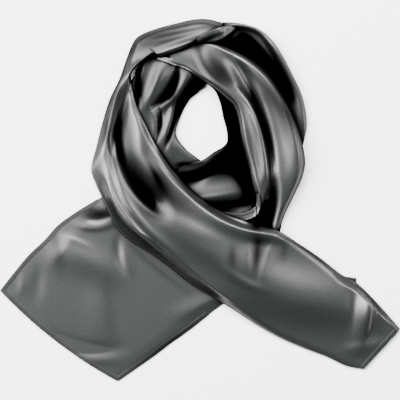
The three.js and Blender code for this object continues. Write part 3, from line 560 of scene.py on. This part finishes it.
# Folded half of the right tail: the satin is folded lengthwise, and this is its under layer, flat
# on the table. Only its corner shows, past the upper edge of the half above it.
TAIL_UNDER = [
    (211, -219, 211, -105, 1.6, 1.6, 0, 2, 2),
    (190, -211, 188, -101, 1.6, 1.6, 0, 2, 2),
    (163, -199, 160, -86, 1.6, 1.6, 0, 2, 2),
    (134, -186, 138, -80, 1.6, 1.6, 0, 2, 2),
]
tail_under = lay_on_pile(run_of_cloth(TAIL_UNDER, [], evenly(TAIL_UNDER, parts=40), across=50))
tail_under_piece = cloth_piece("right_tail_under_cloth", tail_under, face_satin, "right_tail_under")

# Cloth round the opening: gathers of the same satin that run from the shoulder down its left
# side, and the inner turn below and right of it. The ring over them holds both, and they reach
# the table at the opening.
LEFT_INSIDE = [
    (-73, 197, -43, 189, 10, 10, 1, 4, 4),
    (-86, 173, -4, 170, 10, 8, 2, 5, 4),
    (-94, 148, 7, 155, 10, 3, 3, 5, 4),
    (-93, 130, -14, 135, 10, 2.4, 4, 5, 4),
    (-85, 111, -26, 112, 10, 2, 4, 5, 4),
    (-73, 90, -32, 89, 9, 2, 4, 5, 4),
    (-59, 69, -20, 70, 8, 2, 4, 5, 4),
    (-43, 46, -5, 58, 7, 2, 3, 5, 4),
    (-30, 27, 7, 49, 6, 2, 2, 5, 4),
]
LEFT_INSIDE_FOLDS = [
    # narrow slit by the rim, then a broad gather that comes to a point below
    (-74, 194, -85, 157, -81, 119, 3, 3, -5),
    (-47, 194, -57, 159, -77, 116, 10, 9, 7),
    (-30, 186, -40, 151, -70, 119, 5, 4, -7),
    # second gather, the hollow beside it, and the bright ridge below
    (-14, 178, -26, 148, -59, 119, 5, 7, 4),
    (0, 167, -22, 138, -30, 105, 7, 6, -5),
    (-35, 148, -36, 116, -58, 59, 3, 7, 5),
    (-30, 140, -36, 103, -51, 62, 3, 3, -4),
    (-73, 127, -59, 103, -62, 70, 5, 6, 2.5),
    (-57, 132, -54, 103, -63, 68, 3, 3, -3.5),
    # flatter folds that run down under the front stretch
    (-43, 111, -39, 73, -30, 38, 7, 7, 1.5),
    (-30, 89, -22, 65, 5, 46, 7, 7, 1.5),
]
# a copy of the satin with about half its gloss: painted shade for the cloth deep in the opening and the
# hidden turns
inside_satin_in_painted_shade = satin("charcoal satin in the opening", rough=0.35, gloss=0.28)
left_inside = lay_on_pile(
    run_of_cloth(LEFT_INSIDE, LEFT_INSIDE_FOLDS, evenly(LEFT_INSIDE, parts=130), across=70)
)
left_inside_piece = cloth_piece("left_inside_cloth", left_inside, inside_satin_in_painted_shade, "left_inside")

LOWER_INSIDE = [
    (-43, 22, -27, 43, 8, 3.6, 1, 5, 4),
    (-20, -7, -11, 50, 9, 3.4, 3, 6, 4),
    (8, -27, 3, 54, 9, 3, 5, 6, 4),
    (43, -38, 19, 65, 8, 2.4, 6, 7, 4),
    (78, -30, 35, 76, 8, 2, 6, 7, 4),
    (92, 3, 36, 93, 8, 2, 5, 7, 4),
    (86, 40, 31, 112, 8, 2, 4, 7, 4),
    (76, 78, 27, 131, 8, 2, 3, 6, 4),
    (61, 111, 20, 147, 8, 2, 2, 5, 3),
    (42, 135, 8, 158, 8, 3, 1, 4, 3),
]
LOWER_INSIDE_FOLDS = [
    (-30, -1, 19, 9, 89, 22, 11, 6, 1.8),
    (-24, -3, 19, 3, 78, 14, 4, 9, 2),
    (-5, 22, 30, 38, 68, 30, 13, 9, 1),
    (-11, -9, 35, -9, 81, -4, 7, 7, -5),
    (-35, 30, -11, 31, 14, 46, 10, 10, -5),
    (28, 143, 49, 108, 43, 73, 5, 5, 1.5),
]
lower_inside = lay_on_pile(
    run_of_cloth(LOWER_INSIDE, LOWER_INSIDE_FOLDS, evenly(LOWER_INSIDE, parts=170), across=60)
)
lower_inside_piece = cloth_piece("lower_inside_cloth", lower_inside, inside_satin_in_painted_shade, "lower_inside")

# Right rim: the satin's outermost turn at the upper right, a rounded roll that falls into a deep
# pocket. It dives in under the right side, which holds it.
RIGHT_RIM = [
    (30, 240, 22, 211, 1.8, 3, 4, 6, 4),
    (51, 239, 46, 192, 1.8, 3, 5, 7, 4),
    (77, 232, 63, 178, 1.8, 3, 5, 7, 4),
    (96, 217, 80, 165, 1.8, 3, 5, 7, 4),
    (111, 196, 92, 148, 1.8, 3, 5, 7, 4),
    (124, 171, 104, 130, 1.8, 3, 5, 7, 4),
    (136, 146, 113, 111, 1.8, 3, 5, 7, 4),
    (143, 119, 120, 92, 1.8, 3, 5, 7, 4),
    (144, 97, 124, 73, 1.8, 3, 4, 7, 4),
    (139, 73, 124, 54, 1.8, 3, 2, 6, 4),
]
RIM_FOLDS = [
    (19, 231, 62, 235, 92, 219, 7, 4, 10),
    (76, 230, 103, 200, 146, 111, 16, 6, 11),
    (122, 146, 138, 113, 135, 70, 7, 10, 3),
]
right_rim = lay_on_pile(run_of_cloth(RIGHT_RIM, RIM_FOLDS, evenly(RIGHT_RIM, parts=170), across=60))
right_rim_piece = cloth_piece("right_rim_cloth", right_rim, face_satin, "right_rim")

# Right side: the satin's second turn, a wide run gathered into two rolls with a deep valley
# between them, from under the top band round to under the front stretch. Those hold it.
RIGHT_SIDE = [
    (-46, 211, -58, 189, 7, 8, 3, 5, 4),
    (-27, 213, -38, 182, 7, 9, 4, 5, 5),
    (-5, 216, -19, 176, 7, 9, 5, 6, 5),
    (19, 212, 0, 163, 6, 9, 8, 7, 6),
    (46, 200, 18, 151, 5, 9, 11, 8, 7),
    (70, 188, 32, 139, 5, 9, 13, 9, 8),
    (92, 169, 45, 126, 5, 9, 14, 9, 8),
    (109, 144, 51, 108, 5, 9, 14, 10, 8),
    (124, 117, 54, 90, 5, 9, 14, 10, 8),
    (136, 82, 58, 72, 3, 9, 14, 11, 8),
    (142, 54, 65, 47, 1.8, 9, 14, 12, 8),
    (138, 30, 70, 24, 1.8, 9, 14, 12, 8),
    (126, 4, 76, 3, 1.8, 9, 13, 11, 8),
    (113, -23, 78, -15, 1.8, 9, 11, 10, 7),
    (108, -43, 76, -34, 1.8, 8, 8, 8, 6),
    (103, -68, 73, -57, 1.8, 6, 4, 6, 5),
]
SIDE_FOLDS = [
    # valley, shallow at the top and black below
    (32, 216, 55, 170, 81, 111, 9, 10, -6),
    (57, 167, 90, 86, 97, -8, 6, 6, -6),
    (96, 32, 93, -11, 84, -54, 9, 8, -14),
    # roll beside the opening, with the groove inside it
    (43, 154, 81, 92, 93, -22, 4, 9, 7),
    (62, 97, 73, 51, 82, -5, 4, 6, -1.4),
    # fine curved crease near the top and the soft swell left of it
    (3, 216, 7, 178, 59, 138, 9, 7, -2.5),
    (-57, 200, -22, 194, 16, 162, 14, 12, 2),
    # outer roll
    (14, 213, 62, 185, 124, 119, 14, 9, 5),
    (84, 173, 128, 94, 126, -3, 16, 18, 11),
]
right_side = lay_on_pile(
    run_of_cloth(RIGHT_SIDE, SIDE_FOLDS, evenly(RIGHT_SIDE, parts=250), across=80)
)
right_side_piece = cloth_piece("right_side_cloth", right_side, face_satin, "right_side")

# Lip of the right side: that satin's inner edge, rolled over. It hooks left round the foot of the
# opening and goes in under the front stretch.
SIDE_LIP = [
    (79, 8, 76, 8, 9, 9, 0.6, 1.5, 1.5),
    (81, -8, 75, -5, 9, 9, 1.6, 3, 2),
    (74, -22, 68, -14, 9, 9, 2.4, 4, 3),
    (54, -28, 54, -18, 8, 8, 2.4, 4, 3),
    (34, -23, 35, -16, 8, 7, 2, 3, 3),
    (16, -16, 16, -11, 8, 7, 1, 2, 2),
]
side_lip = lay_on_pile(run_of_cloth(SIDE_LIP, [], evenly(SIDE_LIP, parts=70), across=20))
side_lip_piece = cloth_piece("side_lip_cloth", side_lip, face_satin, "side_lip")

# Run on top: the right tail, satin folded lengthwise, rises into the front stretch, which crosses
# the ring and climbs its left side to the shoulder. From there the same cloth goes on as the top
# band. It lies loose on the turns below.
OVER = [
    (220, -228, 269, -174, 3.2, 3.8, 1, 4, 3),
    (197, -224, 242, -143, 1.8, 3.8, 3, 9, 8),
    (171, -212, 212, -113, 1.8, 3.8, 4, 10, 11),
    (142, -201, 189, -99, 1.8, 4, 5, 11, 12),
    (111, -188, 162, -78, 1.8, 5, 6, 12, 12),
    (78, -170, 134, -59, 1.8, 7, 7, 12, 11),
    (49, -151, 107, -42, 3, 9, 9, 12, 10),
    (18, -131, 84, -35, 5, 11, 11, 10, 9),
    (-14, -109, 58, -27, 7, 11, 12, 14, 9),
    (-40, -88, 30, -16, 7, 11, 13, 15, 9),
    (-68, -68, -1, 4, 7, 10, 14, 15, 9),
    (-90, -55, -28, 31, 7, 9, 14, 15, 9),
    (-111, -36, -47, 55, 6, 9, 14, 14, 8),
    (-128, -4, -62, 80, 5, 9, 11, 16, 12),
    (-142, 26, -74, 104, 2, 9, 8.5, 27, 13),
    (-147, 43, -84, 124, 1.8, 9, 7.5, 31, 11),
    (-140, 72, -89, 140, 1.8, 9, 8, 29, 9),
    (-132, 104, -92, 155, 1.8, 9, 9.5, 24, 7),
    (-122, 136, -92, 169, 1.8, 10, 12, 20, 7),
    (-109, 163, -85, 180, 1.8, 11, 13, 15, 7),
    (-100, 189, -73, 189, 1.8, 12, 11, 11, 4),
    (-90, 213, -61, 196, 1.8, 13, 10, 10, 4),
    (-80, 223, -53, 193, 1.8, 13, 10, 10, 5),
    (-57, 232, -38, 197, 1.8, 13, 11, 12, 5),
    (-30, 239, -19, 204, 1.8, 14, 11, 12, 5),
    (-7, 244, -1, 213, 1.8, 14, 11, 11, 5),
    (12, 244, 14, 220, 1.8, 14, 10, 10, 5),
    (30, 239, 27, 224, 1.8, 13, 8, 8, 4),
]
SHOULDER = 21  # section at which the front stretch ends and the top band starts
FRONT_PARTS, BAND_PARTS = 360, 109  # mesh rows before and after it
SIDE_HEM_END = 2.1  # section at which the tail's side hem goes out of sight
FRONT_HEM_START, FRONT_HEM_END = 7.2, 14.3  # sections between which the front edge's hem shows
OVER_HEMS = [("in", 0.16, SIDE_HEM_END), ("out", FRONT_HEM_START, 17.5)]
OVER_FOLDS = [
    # deep valley down the left of the ring: narrow above, widest at its foot
    (-94, 154, -103, 122, -108, 76, 6, 3.5, -4),
    (-105, 127, -107, 68, -78, 14, 17, 5, -7.5),
    (-105, 59, -80, 16, -43, -22, 13, 9, -12),
    (-107, 105, -115, 84, -115, 57, 3, 5, -4),
    (-103, 148, -109, 81, -94, 32, 4, 3, -4),
    # roll beside the opening, its rolled rim and the faint line between them
    (-92, 167, -82, 108, -86, 40, 14, 14, 4),
    (-90, 148, -77, 108, -51, 62, 2.5, 2.5, -1.2),
    # outer band's bright folds, close together, with grooves between them
    (-122, 94, -116, 51, -97, -3, 5, 5, 1),
    (-126, 81, -122, 43, -97, -14, 3, 4, -0.6),
    (-113, 35, -81, -27, -11, -84, 6, 7, 2.5),
    (-122, 27, -86, -30, -24, -86, 4, 4, -2),
    (-135, 49, -116, 3, -62, -62, 8, 9, 3),
    (-100, -16, -54, -73, 27, -136, 5, 7, 2.5),
    (-143, 32, -119, -16, -65, -65, 4, 4, -1.4),
    # crest across the middle: lit above, dark where it falls to the outer edge
    (-68, -11, 11, -65, 124, -126, 31, 20, 8),
    (16, -109, 124, -132, 238, -151, 42, 28, 11.5),
    (-78, -5, -16, -39, 68, -54, 13, 12, 1.2),
    (-73, 68, -27, 14, 46, -34, 6, 11, 3),
    (-57, 59, -16, 8, 40, -26, 3, 3, -1.2),
    (-14, -3, 51, -38, 122, -49, 5, 10, 5),
    # hook of the rim and the dips that it leaves
    (116, -39, 93, -70, 81, -122, 7, 5, 1.2),
    (59, -53, 86, -55, 113, -58, 7, 9, -1.5),
    (78, -49, 78, -76, 72, -111, 6, 8, -0.5),
    (62, -46, 63, -73, 62, -103, 4, 5, 0.6),
    (46, -51, 45, -74, 49, -100, 6, 7, -0.3),
    (24, -81, 57, -109, 97, -124, 6, 6, 2.5),
    # near the right tail's end
    (205, -113, 205, -146, 200, -186, 6, 8, -1.2),
    (227, -103, 228, -146, 217, -197, 6, 14, 10),
    (251, -138, 243, -157, 240, -178, 7, 7, 1),
    (189, -202, 221, -198, 256, -189, 8, 10, 1.8),
    # creases where the shoulder turns into the top band
    (-94, 215, -47, 224, 35, 238, 5, 5, -1),
    (-84, 208, -32, 221, 38, 235, 8, 8, 0.8),
    (-81, 193, -30, 213, 40, 232, 5, 5, -0.9),
    (-70, 198, -22, 209, 40, 228, 6, 7, 0.7),
]
front_places = np.linspace(0, SHOULDER, FRONT_PARTS + 1)
band_places = np.linspace(SHOULDER, len(OVER) - 1, BAND_PARTS + 1)
over_places = np.concatenate([front_places, band_places[1:]])
over = lay_on_pile(run_of_cloth(OVER, OVER_FOLDS, over_places, across=84, hems=OVER_HEMS))
front_run = [grid[: FRONT_PARTS + 1] for grid in over]
front_piece = cloth_piece("front_stretch_cloth", front_run, face_satin, "front_stretch")
front_hems = sew_hem("right_tail_end_hem", over, over_places, "end")
front_hems += sew_hem("right_tail_side_hem", over, over_places, "in", 0.0, SIDE_HEM_END)
front_hems += sew_hem("front_edge_hem", over, over_places, "out", FRONT_HEM_START, FRONT_HEM_END)
band_run = [grid[FRONT_PARTS:] for grid in over]
band_piece = cloth_piece("top_band_cloth", band_run, face_satin, "top_band")

# Turned edge: the satin edge of the top band, curled back over itself for about 50 mm. It lies
# loose on the band.
TURNED_EDGE = [
    (-4, 215, -3, 211, 16, 16, 0.5, 2, 2),
    (11, 224, 12, 212, 17, 16, 1, 3, 2),
    (26, 231, 26, 214, 17, 16, 2, 4, 2),
    (39, 233, 37, 221, 15, 14, 1.5, 3, 2),
    (47, 232, 46, 228, 13, 12, 0.5, 2, 2),
]
turned = lay_on_pile(run_of_cloth(TURNED_EDGE, [], evenly(TURNED_EDGE, parts=40), across=24))
turned_piece = cloth_piece("turned_edge_cloth", turned, face_satin, "turned_edge")

# Hidden turns: the satin layers under the ring that nothing shows of, folded one on another. The
# cloth over them holds them, and one rounded solid stands for them all.

# Outer edge x, y and inner edge x, y, a row for each place round the ring
HIDDEN = [
    (0, 228, 4, 181), (-43, 220, -24, 188), (-72, 202, -54, 183), (-86, 173, -68, 160),
    (-103, 142, -72, 134), (-117, 103, -68, 108), (-128, 70, -57, 84),
    (-124, 42, -44, 59), (-98, 22, -28, 35), (-62, -12, -11, 19),
    (-20, -46, 11, 8), (24, -82, 35, -3), (62, -106, 59, -3),
    (88, -92, 72, 8), (92, -60, 76, 27), (94, -16, 74, 46),
    (108, 24, 68, 68), (114, 54, 62, 89), (106, 92, 54, 111),
    (86, 128, 46, 127), (64, 158, 32, 146), (36, 184, 19, 165),
]

CORE_AROUND, CORE_ACROSS = 120, 12
CORE_CLEAR = 1.2  # millimetres between the core and the cloth over it
CORE_LOWEST, CORE_HIGHEST = 0.4, 22
LAYERS = 4
LAYER_STEPS = 3  # mesh rows down the edge of one layer
LAYER_INSET = 1.2  # millimetres that the seam between two layers lies in from their folds

around = np.linspace(0, len(HIDDEN), CORE_AROUND + 1)[:-1]
row_before = np.floor(around).astype(int)
part_way = (around - row_before)[:, None]
closed = np.array(HIDDEN + HIDDEN[:1], float)
edge = closed[row_before] * (1 - part_way) + closed[row_before + 1] * part_way
share = np.linspace(0, 1, CORE_ACROSS + 1)[None, :, None]
core_top = edge[:, None, :2] * (1 - share) + edge[:, None, 2:] * share
ceiling = nearby(lowest_back, 2, np.minimum)
core_z = np.clip(ceiling[squares(core_top)] - CORE_CLEAR, CORE_LOWEST, CORE_HIGHEST)
for _ in range(3):
    padded = np.pad(core_z, ((1, 1), (0, 0)), mode="wrap")
    padded = np.pad(padded, ((0, 0), (1, 1)), mode="edge")
    core_z = np.minimum(core_z, evened(padded))
# the layers' folded edges show as rounded steps down each side
sides = []
for end, inward in ((0, 1), (-1, -1)):
    step = core_top[:, end + inward] - core_top[:, end]
    step = step / np.linalg.norm(step, axis=1)[:, None]
    lines = []
    for k in range(LAYERS * LAYER_STEPS + 1):
        in_by = LAYER_INSET * (1 - abs(math.sin(math.pi * k / LAYER_STEPS)))
        z = core_z[:, end] * (1 - k / (LAYERS * LAYER_STEPS))
        lines.append(np.column_stack([core_top[:, end] + step * in_by, z]))
    sides.append(lines)
crown = [np.column_stack([core_top[:, j], core_z[:, j]]) for j in range(1, CORE_ACROSS)]
core_points = np.array(sides[0][::-1] + crown + sides[1])
lines_round, per_line = core_points.shape[:2]
core_faces = []
for j in range(lines_round):
    k = (j + 1) % lines_round
    for i in range(per_line):
        n = (i + 1) % per_line
        core_faces.append((j * per_line + i, j * per_line + n, k * per_line + n, k * per_line + i))
core_mesh = bpy.data.meshes.new("hidden_turns_cloth")
core_mesh.from_pydata((core_points.reshape(-1, 3) * MM).tolist(), [], core_faces)
core_mesh.materials.append(inside_satin_in_painted_shade)
core_mesh.shade_smooth()
facing = bmesh.new()
facing.from_mesh(core_mesh)
bmesh.ops.recalc_face_normals(facing, faces=facing.faces)
facing.to_mesh(core_mesh)
facing.free()
core_piece = bpy.data.objects.new("hidden_turns_cloth", core_mesh)
bpy.context.collection.objects.link(core_piece)
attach(core_piece, "root")
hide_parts("hidden_turns")

# Painted shade in the turns: deep between two rolls the satin gets less light than this shallow lay
# gives it, so each point carries how open it is to the light, worked out from the finished pile and cut
# further by the rows below; the satin's colour and gloss are darkened by it.
DEEPER = 1.8  # how many times deeper than the lay the turns are shaded
OPEN, SHUT = 0.84, 0.48  # openness at which cloth is fully lit and fully dark
DIRECTIONS = 16
DISTANCES = (3, 5, 8, 12, 17, 23, 30, 40)  # millimetres out from a point
# Painted shade, laid where the turns are deepest and over some lit slopes besides: start, middle
# and end, half width on each hand, and the share of light kept out, which adds up where two rows
# meet and may pass 1 at the black heart of a turn
PAINTED_SHADE_IN_OPENING = [
    # right and foot of the opening
    (16, 162, 49, 103, 57, 14, 16, 15, 3),
    (3, 49, 38, 59, 76, 68, 16, 27, 1.25),
    (-5, 30, 32, 39, 68, 40, 8, 8, 0.4),
    (-43, 38, -11, 30, 27, 49, 10, 7, 2),
    (-14, -9, 38, -8, 84, 3, 12, 9, 1.2),
    (51, 57, 63, 24, 68, -14, 9, 12, 1.2),
    # between the gathers, and left of the opening
    (-78, 181, -82, 154, -78, 116, 7, 4, 1.3),
    (-30, 184, -38, 154, -70, 119, 6, 4, 1.8),
    (14, 178, -15, 138, -30, 103, 9, 11, 2),
    (-30, 140, -35, 103, -51, 62, 3, 3, 1.2),
    (-54, 132, -53, 103, -62, 65, 3, 3, 1),
    (-35, 46, -22, 49, -3, 49, 3, 4, 1.2),
    (-35, 165, -38, 138, -54, 111, 6, 7, 0.7),
    (-49, 108, -38, 73, -27, 40, 9, 9, 0.35),
    (-46, 192, -63, 157, -76, 122, 9, 9, 0.35),
]
PAINTED_SHADE_UNDER_RIM = [
    (0, 208, 54, 200, 130, 124, 10, 24, 3),
    (49, 224, 78, 200, 135, 113, 8, 12, 2.2),
    (84, 205, 113, 165, 135, 119, 12, 8, 0.6),
]
PAINTED_SHADE_ON_RING = [
    # foot of the left valley, and the one on the right with the wedge below it
    (-108, 62, -77, 11, -38, -30, 12, 18, 1.15),
    (-108, 116, -112, 81, -103, 38, 4, 4, 1.3),
    (59, 167, 78, 119, 90, 68, 4, 4, 1.2),
    (100, 11, 86, -19, 70, -40, 8, 11, 2.2),
    # under the turned flap, and along the right tail's upper fold
    (-14, 211, 8, 216, 30, 213, 3, 3, 1.2),
    (103, -43, 159, -76, 219, -119, 5, 6, 0.8),
    # outer roll and top of the right side
    (68, 170, 107, 123, 151, 78, 18, 17, 0.88),
    (-16, 200, 23, 167, 68, 108, 15, 15, 0.88),
    (-8, 186, 18, 162, 51, 124, 4, 4, 0.15),
    # slope of the front stretch below and left of the opening
    (-81, 70, -47, 8, 11, -30, 15, 13, 0.85),
    (-84, 86, -65, 46, -35, 5, 11, 8, 0.5),
    # round the hook on the right tail
    (77, -38, 76, -73, 72, -109, 6.5, 6, 0.85),
    (113, -49, 113, -68, 108, -86, 5, 5, 0.4),
    (45, -54, 43, -76, 45, -97, 6, 6, 0.55),
    (62, -53, 86, -55, 111, -58, 5, 6, 0.4),
    # roll beside the opening
    (63, 100, 76, 57, 81, 3, 3.5, 4.5, 0.65),
    # outer band at the left
    (-122, 32, -103, 0, -70, -38, 5, 5, 0.35),
    (-127, 124, -122, 65, -116, 16, 6, 6, 0.7),
    # rim along the opening, and the slope below it
    (-68, 97, -14, 8, 86, -40, 4, 4, 0.35),
    (-81, -11, -46, -27, 8, -51, 10, 10, 0.35),
    # beside the right valley's upper end
    (0, 205, 35, 176, 65, 138, 8, 9, 0.45),
]
PAINTED_SHADE_UNDER_RING = [
    (-178, 5, -140, -16, -97, -32, 10, 13, 0.8),
    (-119, -32, -68, -84, 8, -140, 4, 5, 0.3),
    (-119, -248, -38, -190, 40, -138, 5, 5, 0.8),
    (-208, -30, -193, -62, -189, -108, 9, 9, 0.6),
]
PAINTED_SHADE_ON_BAND = [
    (-140, 170, -62, 213, 54, 234, 18, 18, 0.88),
    (-92, 186, -112, 135, -127, 68, 8, 8, 0.6),
]


def openness(points):
    """Share of the sky that is clear of the pile round each point."""
    x, y, z = points[:, 0], points[:, 1], points[:, 2]
    total = np.zeros(len(x))
    for turn in np.arange(DIRECTIONS) * 2 * math.pi / DIRECTIONS:
        steepest = np.zeros(len(x))
        for far in DISTANCES:
            row = np.clip(y + far * math.sin(turn) + MID_ROW, 0, TABLE_ROWS - 1).astype(int)
            col = np.clip(x + far * math.cos(turn) + MID_COL, 0, TABLE_COLS - 1).astype(int)
            steepest = np.maximum(steepest, DEEPER * (laid[row, col] - z) / far)
        total += 1 / (1 + steepest**2)
    return total / DIRECTIONS


PAINTED_SHADE = {
    "left_tail_cloth": PAINTED_SHADE_UNDER_RING,
    "left_tail_lower_hem_cloth": PAINTED_SHADE_UNDER_RING,
    "left_inside_cloth": PAINTED_SHADE_IN_OPENING,
    "lower_inside_cloth": PAINTED_SHADE_IN_OPENING,
    "right_rim_cloth": PAINTED_SHADE_UNDER_RIM,
    "right_side_cloth": PAINTED_SHADE_ON_RING,
    "front_stretch_cloth": PAINTED_SHADE_ON_RING + PAINTED_SHADE_ON_BAND,
    "top_band_cloth": PAINTED_SHADE_ON_RING + PAINTED_SHADE_ON_BAND,
    "turned_edge_cloth": PAINTED_SHADE_ON_BAND,
}
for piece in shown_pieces():
    spots = np.empty(len(piece.data.vertices) * 3)
    piece.data.vertices.foreach_get("co", spots)
    spots = spots.reshape(-1, 3) / MM
    lit = np.clip((openness(spots) - SHUT) / (OPEN - SHUT), 0, 1)
    lit = lit * lit * (3 - 2 * lit)
    if piece.name in PAINTED_SHADE:
        kept_out = sum(fold_height(place, spots[:, 0], spots[:, 1]) for place in PAINTED_SHADE[piece.name])
        lit = lit * np.clip(1 - kept_out, 0, 1)
    # painted shade: the satin's colour and gloss are multiplied by this share of light on each point
    light = piece.data.attributes.new("painted_light_openness", "FLOAT", "POINT")
    light.data.foreach_set("value", lit)

# Table, light and camera: a plain white table, seen from straight above. A wide soft light stands
# at the left, a long one past the picture's top edge, a weak one at the right and a faint one
# overhead.
TABLE_HALF = 4.0
TABLE_TOP = -0.0003  # just under the cloth
table_mesh = bpy.data.meshes.new("white_table")
corners = [(x * TABLE_HALF, y * TABLE_HALF, TABLE_TOP) for x, y in ((-1, -1), (1, -1), (1, 1), (-1, 1))]
table_mesh.from_pydata(corners, [], [(0, 1, 2, 3)])
white = bpy.data.materials.new("white table")
white.use_nodes = True
white_shader = white.node_tree.nodes["Principled BSDF"]
white_shader.inputs["Base Color"].default_value = (0.93, 0.93, 0.93, 1)
white_shader.inputs["Roughness"].default_value = 1.0
white_shader.inputs["Specular IOR Level"].default_value = 0.1
table_mesh.materials.append(white)
white_table = bpy.data.objects.new("white_table", table_mesh)
bpy.context.collection.objects.link(white_table)

world = bpy.data.worlds.new("soft studio")
world.use_nodes = True
sky = world.node_tree.nodes["Background"]
sky.inputs["Color"].default_value = (1, 1, 1, 1)
sky.inputs["Strength"].default_value = 0.012
bpy.context.scene.world = world


def softbox(name, place, size, watts):
    """A rectangular soft light aimed at the stole."""
    data = bpy.data.lights.new(name, "AREA")
    data.shape = "RECTANGLE"
    data.size, data.size_y = size
    data.energy = watts
    lamp = bpy.data.objects.new(name, data)
    lamp.location = place
    aim = -lamp.location.normalized()
    lamp.rotation_euler = aim.to_track_quat("-Z", "Y").to_euler()
    bpy.context.collection.objects.link(lamp)


softbox("left softbox", (-2.52, 1.17, 2.61), (2.7, 2.7), 760)
softbox("top softbox", (0.35, 2.43, 2.92), (4.0, 1.6), 540)
softbox("right softbox", (2.88, 0.18, 2.16), (1.4, 1.4), 90)
softbox("overhead softbox", (0.0, 0.3, 2.8), (0.8, 0.8), 3)

eye = bpy.data.cameras.new("overhead camera")
eye.sensor_width = 36
eye.lens = 160  # long, so that the view is nearly flat
camera = bpy.data.objects.new("overhead camera", eye)
camera.location = (0, 0, 2.4)
bpy.context.collection.objects.link(camera)
bpy.context.scene.camera = camera
